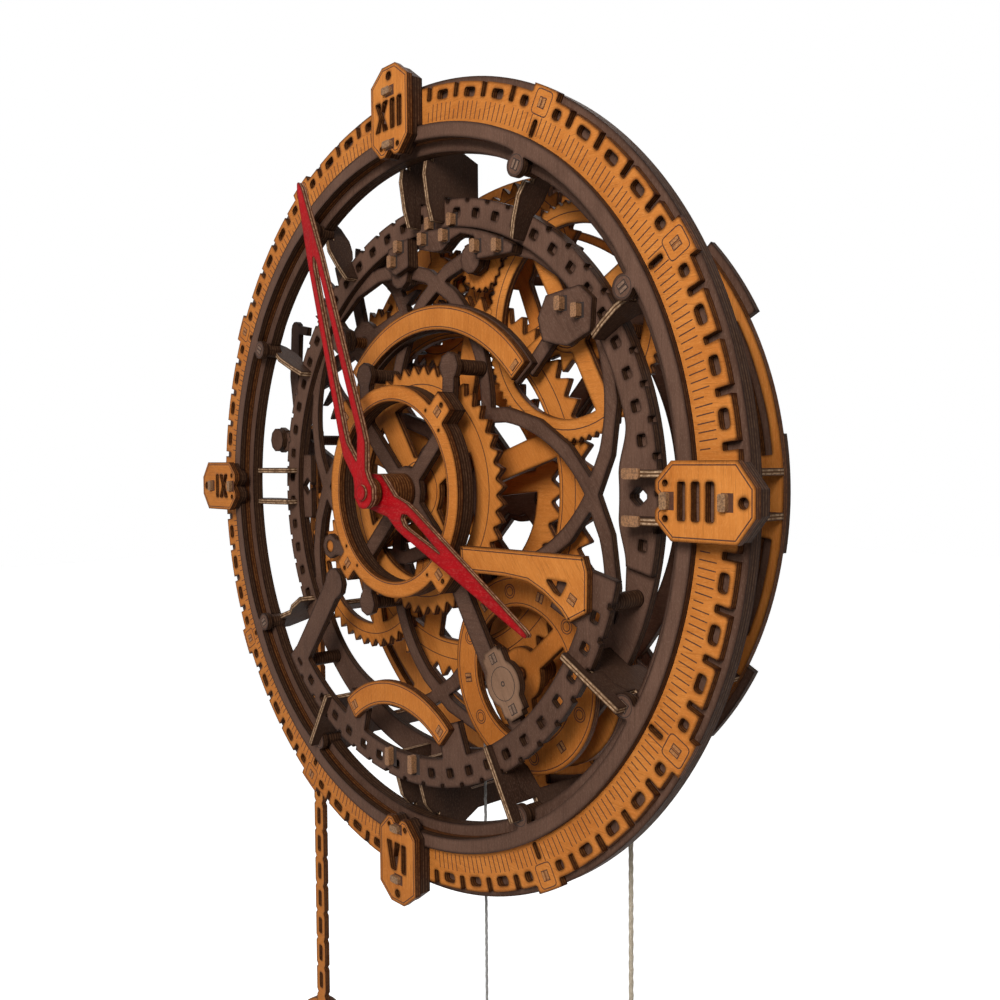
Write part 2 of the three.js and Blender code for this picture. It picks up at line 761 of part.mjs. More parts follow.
function rimOutline(from, to) {
  const path = [];
  const turn = (RIM_NOTCH_WIDE / 2 / RIM_OUTER) * (180 / Math.PI);
  path.push(byClock(RIM_OUTER, from));
  for (let k = Math.ceil((from - 3) / 6); 6 * k + 5.4 + 2 < to; k += 1) {
    const middle = 6 * k + 5.4;
    if (middle - 2 > from) {
      path.push(byClock(RIM_OUTER, middle - turn));
      path.push(byClock(RIM_OUTER - RIM_NOTCH_DEPTH, middle - turn));
      path.push(byClock(RIM_OUTER - RIM_NOTCH_DEPTH, middle + turn));
      path.push(byClock(RIM_OUTER, middle + turn));
    }
  }
  path.push(byClock(RIM_OUTER, to));
  return [...path, ...arc(RIM_INNER, to, from, Math.round((to - from) / 6))];
}

function rimHoles(from, to) {
  const paths = [];
  for (let k = Math.ceil(from / 6); 6 * k + 2.4 + 2 < to; k += 1) {
    const middle = 6 * k + 2.4;
    if (middle - 2 > from) {
      paths.push(radialBox(RIM_HOLE_PLACE, middle, RIM_HOLE_TALL, RIM_HOLE_WIDE));
    }
  }
  return paths;
}

const peg = (place, front, foot) =>
  plate(box(place, PEG_TALL, PLY, rad(90)), [], front - PEG_PROUD, PEG_PROUD + foot);
const pegs = (places, front) =>
  places.map(([radius, turn]) => peg(byClock(plan(radius), turn), front, JOIN));
const rimSheet = plate(rimOutline(RIM_FROM, RIM_TO), rimHoles(RIM_FROM, RIM_TO), RIM_FRONT);
add("movement_rim", join(rimSheet, ...pegs(RIM_PEGS, RIM_FRONT)), BROWN);

const arcPosts = ARC_POST_CLOCKS.map((turn) =>
  rod(byClock(ARC_POST_PLACE, turn), POST_RADIUS, BRIDGE_FRONT - JOIN, MOVEMENT_FRONT, 8),
);
const plaqueTab = plate(sector(plan(108), RIM_INNER + 3, ARC_FROM, ARC_FROM + 11, 2), [], ARC_FRONT);
const plaqueSeats = PLAQUE_SEATS.map(([from, to]) =>
  plate(sector(plan(109), RIM_INNER + 3, from, to, 2), [], ARC_FRONT),
);
const armEnd = point(plan(ARM_END_X), plan(ARM_END_Z));
const leftArm = [
  plate(bar(byClock(RIM_HOLE_PLACE, ARC_TO - 3), armEnd, ARM_WIDE), [], ARC_FRONT),
  plate(circle(armEnd, ARM_BOSS, 10), [], ARC_FRONT),
];
const lowerArc = plate(rimOutline(ARC_FROM, ARC_TO), rimHoles(ARC_FROM, ARC_TO), ARC_FRONT);
add("lower_arc", join(lowerArc, plaqueTab, ...plaqueSeats, ...leftArm, ...arcPosts), BROWN);

// Movement plate: ring, four crossing bands, bearings and the backing of the upper plaque

const movementPieces = [
  plate(circle(CENTRE, RIM_OUTER, RING_STEPS), [circle(CENTRE, RIM_INNER, RING_STEPS)], MOVEMENT_FRONT),
];
[-1, 1].forEach((sx) => {
  [-1, 1].forEach((sz) => {
    const middle = point(sx * BAND_PLACE, sz * BAND_PLACE);
    const outer = circle(middle, BAND_RADIUS + BAND_WIDE / 2, 22);
    const inner = circle(middle, BAND_RADIUS - BAND_WIDE / 2, 22);
    movementPieces.push(plate(outer, [inner], MOVEMENT_FRONT));
  });
});
const BEARINGS = [MOTION, THIRD, FOURTH, FIFTH, ESCAPE, ANCHOR];
BEARINGS.forEach((axis) => movementPieces.push(plate(circle(axis, BEARING_RADIUS, 8), [], MOVEMENT_FRONT)));
[THIRD, ESCAPE, ANCHOR].forEach((axis) => {
  const middleRim = (RIM_INNER + RIM_OUTER) / 2;
  const far = point((axis.x / axis.length()) * middleRim, (axis.y / axis.length()) * middleRim);
  movementPieces.push(plate(bar(axis, far, 11), [], MOVEMENT_FRONT));
});
[90, 270].forEach((turn) => {
  const tall = RIM_INNER + 2 - SIDE_LUG_INNER;
  const lug = radialBox(SIDE_LUG_INNER + tall / 2, turn, tall, SIDE_LUG_WIDE);
  movementPieces.push(plate(lug, [], MOVEMENT_FRONT));
});
UPPER_LUGS.forEach(({ from, to, outline }) => {
  const shape = outline.map(([radius, turn]) => byClock(plan(radius), turn));
  movementPieces.push(plate(shape, [], RIM_FRONT - PLY, 2 * PLY + JOIN));
  movementPieces.push(plate(sector(RIM_INNER - 4, RIM_INNER + 2, from, to, 4), [], MOVEMENT_FRONT));
});
const plaqueBacking = sector(UPPER_INNER - 1, UPPER_OUTER + 1, UPPER_FROM - 1, UPPER_TO + 1, 8);
movementPieces.push(plate(plaqueBacking, [], RIM_FRONT, PLY + JOIN));
const pad = PAD_OUTLINE.map(([x, z]) => point(plan(x), plan(z)));
movementPieces.push(plate(pad, [], RIM_FRONT - PLY));
movementPieces.push(plate(circle(THIRD, PAD_FOOT, 12), [], RIM_FRONT - JOIN, PLY + 2 * JOIN));
const plaqueEnd = byClock((UPPER_INNER + UPPER_OUTER) / 2, UPPER_TO);
movementPieces.push(plate(bar(plaqueEnd, THIRD, PAD_ARM), [], MOVEMENT_FRONT));
[FOURTH, FIFTH, ESCAPE, ANCHOR].forEach((axis) =>
  movementPieces.push(plate(circle(axis, COVER, 10), [], RIM_FRONT, PLY + JOIN)),
);
movementPieces.push(...pegs(LUG_PEGS, RIM_FRONT - PLY), ...pegs(PAD_PEGS, RIM_FRONT - PLY));
const movementHoles = BEARINGS.map((axis) => plate(bore(axis), [], MOVEMENT_FRONT - 1, PLY + 2));
[90, 270].forEach((turn) => {
  const place = byClock((SIDE_LUG_INNER + RIM_INNER) / 2, turn);
  movementHoles.push(plate(box(place, SIDE_HOLE, SIDE_HOLE, rad(45)), [], MOVEMENT_FRONT - 1, PLY + 2));
});
add("movement_plate", cut(join(...movementPieces), ...movementHoles), BROWN);

// Bridge with crossed spokes, posts to the movement plate and an arm past the drum to the lower arc

const SPOKE_REACH = STACK_INNER / Math.SQRT2 + 2;
const spokeEnd = (sx, sz) => point(sx * SPOKE_REACH, sz * SPOKE_REACH);
const drumOut = byAngle(CENTRE, RIM_OUTER - 4, rad(DRUM_ANGLE));
const posts = [point(POST_X, POST_Z), point(-POST_X, POST_Z), point(-POST_X, -POST_Z)];
const bridgeBars = [
  bar(spokeEnd(-1, -1), spokeEnd(1, 1), SPOKE_WIDE),
  bar(spokeEnd(-1, 1), spokeEnd(1, -1), SPOKE_WIDE),
  bar(spokeEnd(1, 1), posts[0], SPOKE_WIDE),
  bar(spokeEnd(-1, 1), posts[1], SPOKE_WIDE),
  bar(spokeEnd(-1, -1), posts[2], SPOKE_WIDE),
  bar(spokeEnd(-1, -1), MOTION, SPOKE_WIDE),
  bar(spokeEnd(1, -1), DRUM, SPOKE_WIDE + 2),
  bar(DRUM, drumOut, SPOKE_WIDE),
].map((path) => plate(path, [], BRIDGE_FRONT));
const bridgeRounds = [...posts, MOTION, DRUM].map((place) => plate(circle(place, 6.5, 8), [], BRIDGE_FRONT));
const bridgeHub = plate(circle(CENTRE, HUB_RADIUS, 16), [], BRIDGE_FRONT);
const bridgePosts = posts.map((place) => rod(place, POST_RADIUS, BRIDGE_REAR - JOIN, MOVEMENT_FRONT, 8));
const bridgeBores = [bore(CENTRE, PIPE_RADIUS), bore(MOTION), bore(DRUM)].map((path) =>
  plate(path, [], BRIDGE_FRONT - 1, PLY + 2),
);
const bridge = join(...bridgeBars, ...bridgeRounds, bridgeHub, ...bridgePosts);
add("bridge_plate", cut(bridge, ...bridgeBores), BROWN);

const LUG_MIDDLE = (STACK_INNER + STACK_LUG) / 2 + 1;
const stackLugs = (front, thick) =>
  [45, 135, 225, 315].map((turn) =>
    plate(radialBox(LUG_MIDDLE, turn, STACK_LUG - STACK_INNER - 2, STACK_LUG_WIDE), [], front, thick),
  );
const stackRing = (front, thick) =>
  plate(circle(CENTRE, STACK_OUTER, 32), [circle(CENTRE, STACK_INNER, 32)], front, thick);
add("bridge_ring", join(stackRing(STACK_FRONT, 2 * PLY), ...stackLugs(STACK_FRONT, 2 * PLY)), BROWN);
const trimHoles = [45, 135, 225, 315].flatMap((turn) => [
  plate(radialBox(STACK_LUG - 2.6, turn, 1.6, 2.6), [], TRIM_FRONT - 1, PLY + 2),
  plate(circle(byClock((STACK_INNER + STACK_OUTER) / 2, turn + 8), 0.9, 4), [], TRIM_FRONT - 1, PLY + 2),
  plate(circle(byClock((STACK_INNER + STACK_OUTER) / 2, turn - 8), 0.9, 4), [], TRIM_FRONT - 1, PLY + 2),
]);
const trim = join(stackRing(TRIM_FRONT, PLY), ...stackLugs(TRIM_FRONT, PLY));
add("centre_trim", cut(trim, ...trimHoles), ORANGE);

const capAngle = rad(CAP_ANGLE);
const capMiddle = point(DRUM.x + CAP_SHIFT, DRUM.y);
const capBody = [
  plate(circle(capMiddle, CAP_RADIUS, 16), [], ARC_FRONT),
  plate(box(capMiddle, CAP_LONG, CAP_WIDE - 4, capAngle), [], ARC_FRONT),
  plate(box(capMiddle, CAP_LONG - 4, CAP_WIDE, capAngle), [], ARC_FRONT),
];
add("drum_cap", join(...capBody), BROWN);

// Plaques, bare
const plaqueUpper = sector(UPPER_INNER, UPPER_OUTER, UPPER_FROM, UPPER_TO, 8);
add("plaque_upper", plate(plaqueUpper, [], RIM_FRONT - PLY), ORANGE);
const plaqueRight = [
  [46.9, -22.5],
  [119.5, -22.2],
  [121.5, -28],
  [121.2, -43.5],
  [111.2, -48.5],
  [107, -44],
  [97.7, -38.2],
  [88.6, -34.4],
  [74.3, -33.4],
  [47.9, -33.7],
].map(([x, z]) => point(plan(x), plan(z)));
const plaqueWindow = [
  [98.8, -32.5],
  [111, -32.9],
  [107, -38.8],
  [103.8, -37.6],
].map(([x, z]) => point(plan(x), plan(z)));
add("plaque_right", plate(plaqueRight, [plaqueWindow], PLAQUE_FRONT), ORANGE);
const plaqueLower = sector(LOWER_INNER, LOWER_OUTER, -LOWER_HALF, LOWER_HALF, 10).map((p) =>
  point(p.x + LOWER_SIDE, p.y + LOWER_CENTRE),
);
add("plaque_lower", plate(plaqueLower, [], PLAQUE_FRONT), ORANGE);

// Wheels, each fused with its arbor and pinion

const gear = (centre, teeth, module, phase, front, holes) =>
  plate(toothed(centre, teeth, module, phase), holes, front);
const ARBOR_REAR = FRAME_FRONT - END_GAP;

const driveWindows = windows(CENTRE, 4, plan(18), plan(44), plan(10), 0.1, 4);
const centreArbor = join(
  rod(CENTRE, ARBOR, MINUTE_HAND_FRONT + PLY, ARBOR_REAR),
  rod(CENTRE, PIPE_RADIUS + 1, MINUTE_HAND_FRONT + PLY, HOUR_HAND_FRONT - WHEEL_GAP, 12),
  gear(CENTRE, CANNON_TEETH, FINE_MODULE, CENTRE_PHASE, MOTION_FRONT, []),
  rod(CENTRE, HUB, MOTION_FRONT + PLY - JOIN, CENTRE_FRONT + PLY + JOIN, 12),
  rod(CENTRE, COLLAR, CENTRE_FRONT + PLY, DRIVE_FRONT + JOIN, 12),
  gear(CENTRE, DRIVE_TEETH, DRIVE_MODULE, CENTRE_PHASE, DRIVE_FRONT, driveWindows),
);
add("centre_arbor", centreArbor, ORANGE);
const centreHoles = windows(CENTRE, 6, plan(24), plan(74), plan(13), 0.3, 5);
centreHoles.push(circle(CENTRE, HUB + RUN_GAP, 12));
const centreWheel = gear(CENTRE, CENTRE_TEETH, CENTRE_MODULE, CENTRE_PHASE, CENTRE_FRONT, centreHoles);
add("centre_wheel", centreWheel, ORANGE);

const hourWindows = windows(CENTRE, 4, plan(16), plan(42), plan(13), 0.6, 5);
const hourWheel = join(
  gear(CENTRE, HOUR_TEETH, FINE_MODULE, HOUR_PHASE, HOUR_WHEEL_FRONT, hourWindows),
  rod(CENTRE, PIPE_RADIUS, HOUR_HAND_FRONT + PLY, HOUR_WHEEL_FRONT + PLY),
  rod(CENTRE, PIPE_SLEEVE, HOUR_HAND_FRONT + PLY, BRIDGE_FRONT - WHEEL_GAP, 16),
);
const pipeBore = plate(bore(CENTRE), [], HOUR_HAND_FRONT, 4 * PLY + HOUR_WHEEL_FRONT - HOUR_HAND_FRONT);
add("hour_wheel", cut(hourWheel, pipeBore), ORANGE);

const motionWindows = windows(MOTION, 4, plan(14), plan(43), plan(9), 0.2, 3);
const motionWheel = join(
  gear(MOTION, MOTION_TEETH, FINE_MODULE, MOTION_PHASE, MOTION_FRONT, motionWindows),
  gear(MOTION, MOTION_PINION_TEETH, FINE_MODULE, MOTION_PHASE, HOUR_WHEEL_FRONT, []),
  rod(MOTION, ARBOR, BRIDGE_FRONT + END_GAP, MOTION_FRONT + PLY),
);
add("motion_wheel", motionWheel, ORANGE);

const thirdHoles = windows(THIRD, 4, plan(13), plan(41), plan(9), 0.5, 5);
const thirdWheel = join(
  gear(THIRD, THIRD_PINION_TEETH, CENTRE_MODULE, THIRD_PHASE, CENTRE_FRONT, []),
  gear(THIRD, THIRD_TEETH, THIRD_MODULE, THIRD_PHASE, THIRD_FRONT, thirdHoles),
  rod(THIRD, ARBOR, MOVEMENT_FRONT + END_GAP, ARBOR_REAR),
  rod(THIRD, HUB, THIRD_FRONT + PLY - JOIN, CENTRE_FRONT + JOIN, 10),
);
add("third_wheel", thirdWheel, ORANGE);

const fourthWindows = windows(FOURTH, 4, plan(11), plan(29), plan(8), 0.4, 3);
const fourthWheel = join(
  gear(FOURTH, FOURTH_PINION_TEETH, THIRD_MODULE, FOURTH_PHASE, THIRD_FRONT, []),
  gear(FOURTH, FOURTH_TEETH, FINE_MODULE, FOURTH_PHASE, FOURTH_FRONT, fourthWindows),
  rod(FOURTH, ARBOR, MOVEMENT_FRONT + END_GAP, ARBOR_REAR),
);
add("fourth_wheel", fourthWheel, ORANGE);

const fifthWindows = windows(FIFTH, 4, plan(12), plan(33), plan(8), 0.2, 3);
const fifthWheel = join(
  gear(FIFTH, FIFTH_PINION_TEETH, FINE_MODULE, FIFTH_PHASE, FOURTH_FRONT, []),
  gear(FIFTH, FIFTH_TEETH, FINE_MODULE, FIFTH_PHASE, FIFTH_FRONT, fifthWindows),
  rod(FIFTH, ARBOR, MOVEMENT_FRONT + END_GAP, ARBOR_REAR),
);
add("fifth_wheel", fifthWheel, ORANGE);

function escapeOutline() {
  const path = [];
  for (let i = 0; i < ESCAPE_TEETH; i += 1) {
    const turn = ESCAPE_PHASE + (2 * Math.PI * i) / ESCAPE_TEETH;
    const pitch = (2 * Math.PI) / ESCAPE_TEETH;
    path.push(byAngle(ESCAPE, ESCAPE_ROOT, turn - 0.28 * pitch));
    path.push(byAngle(ESCAPE, ESCAPE_RADIUS, turn - 0.05 * pitch));
    path.push(byAngle(ESCAPE, ESCAPE_ROOT, turn + 0.28 * pitch));
  }
  return path;
}

const escapeHoles = [...windows(ESCAPE, 4, plan(12), plan(35), plan(8), 0.3, 4), bore(ESCAPE)];
add("escape_wheel", plate(escapeOutline(), escapeHoles, ESCAPE_FRONT), BROWN);
const escapeArbor = join(
  gear(ESCAPE, ESCAPE_PINION_TEETH, FINE_MODULE, ESCAPE_PHASE, FIFTH_FRONT, []),
  rod(ESCAPE, HUB, ESCAPE_FRONT + PLY, FIFTH_FRONT + JOIN, 10),
  rod(ESCAPE, ARBOR, MOVEMENT_FRONT + END_GAP, ARBOR_REAR),
);
add("escape_arbor", escapeArbor, ORANGE);

// Drum: disc in front, core that carries the cords, gear behind it
const discHoles = [
  ...windows(DRUM, 3, plan(12), plan(29.5), plan(9), 0.7, 6),
  ...ringOfHoles(DRUM, 6, plan(36.5), plan(1.8), 0.2, 4),
  circle(DRUM, ARBOR + SIDE_GAP, ARBOR_STEPS),
];
add("drum_disc", plate(circle(DRUM, DISC_RADIUS, 36), discHoles, DISC_FRONT), ORANGE);
const drumCore = join(
  rod(DRUM, ARBOR, BRIDGE_FRONT + END_GAP, ARBOR_REAR),
  rod(DRUM, 8, DISC_FRONT + PLY, CENTRE_FRONT - 2 * WHEEL_GAP, 8),
  rod(DRUM, 4.5, DISC_FRONT + PLY, ESCAPE_FRONT + JOIN, 8),
  rod(DRUM, CORE_RADIUS, ESCAPE_FRONT, DRIVE_FRONT - WHEEL_GAP, 28),
  rod(DRUM, CORE_NECK, DRIVE_FRONT - 2 * WHEEL_GAP, DRIVE_FRONT + JOIN, 10),
  gear(DRUM, DRUM_TEETH, DRIVE_MODULE, DRUM_PHASE, DRIVE_FRONT, []),
);
add("drum_core", drumCore, ORANGE);

// Cords: each leaves the side of the drum and hangs straight down to a hook

function hanging(name, way, depth, radius, end, material) {
  const x = DRUM.x + way * (CORE_RADIUS + SIDE_GAP + radius);
  const y = depth - WALL_DEPTH;
  const route = new THREE.LineCurve3(new THREE.Vector3(x, y, DRUM.y), new THREE.Vector3(x, y, end));
  const section = new THREE.Shape(circle(CENTRE, radius, CORD_SIDES));
  const cord = new THREE.ExtrudeGeometry(section, { steps: CORD_STEPS, extrudePath: route });
  add(`cord_${name}`, cord, material);
  const shank = new THREE.CylinderGeometry(radius + 0.8, radius + 0.8, HOOK_SHANK, 6);
  shank.rotateX(Math.PI / 2);
  shank.translate(x, y, end - END_GAP - HOOK_SHANK / 2);
  const eye = new THREE.TorusGeometry(HOOK_RADIUS, HOOK_WIRE, 4, 8);
  eye.rotateX(Math.PI / 2);
  eye.translate(x, y, end - END_GAP - HOOK_SHANK - HOOK_RADIUS + HOOK_WIRE);
  add(`hook_${name}`, join(shank, eye), STEEL);
}
hanging("left", -1, ESCAPE_FRONT + 1, CORD_LEFT_RADIUS, CORD_LEFT_END, STEEL);
hanging("right", 1, ESCAPE_FRONT + 3, CORD_RIGHT_RADIUS, CORD_RIGHT_END, CORD);

// Hands: outline along and across, turned to the time shown

function hand(turn, outline) {
  const out = byClock(1, turn);
  const side = point(out.y, -out.x);
  return outline.map(([a, b]) => point(a * out.x + b * side.x, a * out.y + b * side.y));
}

const bothSides = (edge) => [
  ...edge,
  ...edge
    .slice()
    .reverse()
    .map(([a, b]) => [a, -b]),
];
const minuteEdge = [
  [-7, 2.5],
  [-5, 5.5],
  [0, 7.2],
  [5, 5.5],
  [9, 5],
  [21, 10.8],
  [30, 10.8],
  [MINUTE_LONG - 42, 6.7],
  [MINUTE_LONG - 4, 2.6],
  [MINUTE_LONG, 0.8],
];
const minuteSlot = [
  [15, 0.4],
  [26, 5.6],
  [32, 5.8],
  [MINUTE_LONG - 44, 2.3],
  [MINUTE_LONG - 40, 0.8],
];
const minuteOutline = hand(MINUTE_CLOCK, bothSides(minuteEdge));
const minuteHoles = [hand(MINUTE_CLOCK, bothSides(minuteSlot))];
const minuteHand = join(
  plate(minuteOutline, minuteHoles, MINUTE_HAND_FRONT),
  rod(CENTRE, 3.6, MINUTE_HAND_FRONT - 1.5, MINUTE_HAND_FRONT + JOIN, 12),
);
add("minute_hand", minuteHand, RED);

const hourEdge = [
  [-8.5, 3],
  [-6, 6.5],
  [0, 9],
  [6, 7.5],
  [13, 6],
  [22, 9.6],
  [28, 9.6],
  [HOUR_LONG - 61, 8],
  [HOUR_LONG - 2, 2.4],
  [HOUR_LONG, 1.2],
];
const hourSlot = [
  [22, 1.6],
  [25, 4],
  [29, 4],
  [HOUR_LONG - 60, 0.7],
];
add(
  "hour_hand",
  plate(
    hand(HOUR_CLOCK, bothSides(hourEdge)),
    [hand(HOUR_CLOCK, bothSides(hourSlot)), bore(CENTRE)],
    HOUR_HAND_FRONT,
  ),
  RED,
);

// Anchor, pendulum rod and bob

const tangent = Math.acos(ESCAPE_RADIUS / ESCAPE.distanceTo(ANCHOR));
const toAnchor = Math.atan2(ANCHOR.y - ESCAPE.y, ANCHOR.x - ESCAPE.x);
const palletTip = (way) => byAngle(ESCAPE, ESCAPE_RADIUS + PALLET_GAP, toAnchor + way * tangent);
const palletRoot = (way) => byAngle(ESCAPE, ESCAPE_RADIUS + PALLET_GAP + 14, toAnchor + way * tangent);
const armBend = (way) => byAngle(ESCAPE, ESCAPE_RADIUS + PALLET_GAP + 16, toAnchor + way * tangent * 0.55);
const anchorPieces = [-1, 1].flatMap((way) => {
  const root = palletRoot(way);
  const tip = palletTip(way);
  const inner = point(tip.x + (root.x - tip.x) * 0.02, tip.y + (root.y - tip.y) * 0.02);
  return [
    plate(bar(ANCHOR, armBend(way), 9), [], ESCAPE_FRONT),
    plate(bar(armBend(way), root, 9), [], ESCAPE_FRONT),
    plate(bar(inner, root, 5), [], ESCAPE_FRONT),
    plate(circle(armBend(way), 4.5, 10), [], ESCAPE_FRONT),
    plate(circle(root, 4.5, 10), [], ESCAPE_FRONT),
  ];
});
const anchor = join(
  ...anchorPieces,
  plate(circle(ANCHOR, 10, 16), [], ESCAPE_FRONT),
  rod(ANCHOR, ARBOR, MOVEMENT_FRONT + END_GAP, ARBOR_REAR),
  rod(ANCHOR, 7, ESCAPE_FRONT + PLY - JOIN, FIFTH_FRONT, 12),
);
add("anchor", anchor, BROWN);

const rodFoot = BOB_PLACE - BOB_RADIUS * 0.55;
const rodOutline = [];
const rodSlots = [circle(ANCHOR, ARBOR + SIDE_GAP, ARBOR_STEPS)];
const rodTop = ANCHOR.y + 9;
const slotCount = Math.floor((ANCHOR.y - 16 - (BOB_PLACE + BOB_RADIUS)) / ROD_SLOT_PITCH);
const rodLeft = [];
const rodRight = [];
for (let i = 0; i < slotCount; i += 1) {
  const z = ANCHOR.y - 16 - (i + 0.5) * ROD_SLOT_PITCH;
  rodSlots.push(box(point(ANCHOR.x, z), 3, ROD_SLOT_PITCH * 0.55, 0));
  const low = z - ROD_SLOT_PITCH / 2;
  if (low > ROD_NOTCH_TOP) continue;
  [
    [0, low + 1.8],
    [1.4, low],
    [0, low - 1.8],
  ].forEach(([inset, height]) => {
    rodRight.push(point(ANCHOR.x + ROD_WIDE / 2 - inset, height));
    rodLeft.push(point(ANCHOR.x - ROD_WIDE / 2 + inset, height));
  });
}
const rodSide = (way, out, height) => point(ANCHOR.x + way * (ROD_WIDE / 2 + out), height);
const rodHead = (way) => [
  rodSide(way, -2, rodTop),
  rodSide(way, 2, rodTop - 4),
  rodSide(way, 2, ANCHOR.y - 8),
  rodSide(way, 0, ANCHOR.y - 12),
];
rodOutline.push(...rodHead(1), ...rodRight, rodSide(1, 0, rodFoot));
rodOutline.push(rodSide(-1, 0, rodFoot), ...rodLeft.reverse(), ...rodHead(-1).reverse());
add("pendulum_rod", plate(rodOutline, rodSlots, FIFTH_FRONT), ORANGE);

const BOB = point(ANCHOR.x, BOB_PLACE);
const bobHoles = ringOfHoles(BOB, 4, 21, 6, 0, 8);
const bobDisc = plate(circle(BOB, BOB_RADIUS, 28), bobHoles, FIFTH_FRONT + PLY, 2 * PLY);
add("pendulum_bob", bobDisc, ORANGE);

// Back ring, the skeleton with the rear bearings, and the frame that meets the wall

const BACK_SLOTS = [
  [5, 25],
  [35, 55],
  [62, 84],
  [97, 113],
  [127, 143],
  [157, 172],
  [188, 203],
  [217, 233],
  [247, 266],
  [294, 325],
  [335, 355],
];
const BACK_WINDOWS = [
  [8, 28],
  [34, 54],
  [60, 80],
  [96, 116],
  [306, 326],
  [332, 352],
];
const backSlots = [
  ...BACK_SLOTS.map(([from, to]) => sector(BACK_SLOT_INNER, BACK_SLOT_OUTER, from, to, 3)),
  ...BACK_WINDOWS.map(([from, to]) => sector(BACK_WINDOW_INNER, BACK_WINDOW_OUTER, from, to, 3)),
];
const backHoles = [circle(CENTRE, BACK_INNER, RING_STEPS), ...backSlots, bore(ANCHOR)];
add("back_ring", plate(circle(CENTRE, BACK_OUTER, RING_STEPS), backHoles, BACK_FRONT), ORANGE);

const BACK_AXES = [DRUM, THIRD, FOURTH, FIFTH, ESCAPE, CENTRE];
const backSpokes = [45, 135, 225, 315].map((turn) =>
  plate(bar(byClock(8, turn), byClock(BACK_RING_INNER + 3, turn), BACK_SPOKE), [], BACK_FRONT),
);
const backPieces = [
  plate(circle(CENTRE, BACK_RING_OUTER, 32), [circle(CENTRE, BACK_RING_INNER, 32)], BACK_FRONT),
  plate(circle(CENTRE, BACK_HUB, 16), [], BACK_FRONT),
  ...BACK_AXES.map((axis) => plate(circle(axis, BACK_BOSS, 10), [], BACK_FRONT)),
  ...backSpokes,
];
const backBores = BACK_AXES.map((axis) => plate(bore(axis), [], BACK_FRONT - 1, PLY + 2));
add("back_plate", cut(join(...backPieces), ...backBores), BROWN);

const frameBumps = [
  ...[90, 270].map((turn) => sector(FRAME_INNER + 1, FRAME_BUMP, turn - 9, turn + 9, 3)),
  ...[55, 125, 235, 305].map((turn) => sector(FRAME_INNER + 1, FRAME_EAR, turn - 7, turn + 7, 2)),
].map((path) => plate(path, [], FRAME_FRONT));
const frameArms = [45, 135].map((turn) =>
  plate(box(CENTRE, 2 * FRAME_INNER + 8, FRAME_ARM, rad(90 - turn)), [], FRAME_FRONT),
);
const rearFrame = join(
  plate(circle(CENTRE, FRAME_OUTER, RING_STEPS), [circle(CENTRE, FRAME_INNER, RING_STEPS)], FRAME_FRONT),
  plate(circle(CENTRE, FRAME_HUB, 20), [], FRAME_FRONT),
  ...frameBumps,
  ...frameArms,
);
add("rear_frame", rearFrame, BROWN);

export default clock;
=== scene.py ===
# %% [markdown]
# This lesson dresses a wall clock that is built up from laser cut plywood: an open dial, a train of wooden
# wheels, two red hands and two cords under a drum. The shapes are already solved in CAD, so the first step
# only loads them as a fixed frame, and the last step prints the box that they fill. Everything that follows is
# placed in metres in that same frame, with the dial facing -Y and the wall at Y = 0.

# %% Load the clock
import json
import math
import random

import bmesh
import bpy
from mathutils import Matrix, Vector
from mathutils.geometry import delaunay_2d_cdt


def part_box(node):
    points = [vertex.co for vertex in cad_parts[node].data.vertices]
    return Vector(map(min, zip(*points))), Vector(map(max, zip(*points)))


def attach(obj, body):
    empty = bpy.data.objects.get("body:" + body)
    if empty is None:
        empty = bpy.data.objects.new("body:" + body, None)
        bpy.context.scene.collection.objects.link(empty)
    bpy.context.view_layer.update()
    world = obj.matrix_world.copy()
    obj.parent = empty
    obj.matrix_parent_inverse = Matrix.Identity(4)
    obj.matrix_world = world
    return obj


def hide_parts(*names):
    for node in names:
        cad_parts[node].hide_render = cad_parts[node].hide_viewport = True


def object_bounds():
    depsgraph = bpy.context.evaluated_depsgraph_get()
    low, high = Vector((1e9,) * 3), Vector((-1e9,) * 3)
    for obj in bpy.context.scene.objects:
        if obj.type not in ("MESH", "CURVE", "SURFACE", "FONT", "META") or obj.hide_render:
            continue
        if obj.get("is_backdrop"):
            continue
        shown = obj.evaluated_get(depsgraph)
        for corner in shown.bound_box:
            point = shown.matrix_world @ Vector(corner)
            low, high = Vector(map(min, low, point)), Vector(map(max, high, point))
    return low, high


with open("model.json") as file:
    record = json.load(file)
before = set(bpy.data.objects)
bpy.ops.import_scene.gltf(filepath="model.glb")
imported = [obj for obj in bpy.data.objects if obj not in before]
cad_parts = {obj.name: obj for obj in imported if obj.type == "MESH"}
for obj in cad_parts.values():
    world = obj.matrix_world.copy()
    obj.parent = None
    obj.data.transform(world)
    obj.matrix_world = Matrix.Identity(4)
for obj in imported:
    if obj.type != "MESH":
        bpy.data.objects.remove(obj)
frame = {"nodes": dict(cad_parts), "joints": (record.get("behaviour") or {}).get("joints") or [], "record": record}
nodes = frame["nodes"]
scene = bpy.context.scene
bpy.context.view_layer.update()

# %% [markdown]
# The photograph was taken from the right of the clock, close up, a little above its middle. A camera can be
# aimed with a track-to constraint, but the roll and the exact aim matter here, so its three axes are
# written out as the columns of a matrix. The lens is given for a square picture.

# %% Camera
CAMERA_PLACE = Vector((0.37294, -0.35812, 0.01499))
CAMERA_RIGHT = Vector((0.67456, 0.73817, -0.00676))
CAMERA_UP = Vector((-0.02633, 0.03322, 0.99909))
CAMERA_BACK = Vector((0.73773, -0.67378, 0.04184))
SENSOR_MM = 36.0
LENS_MM = 35.48

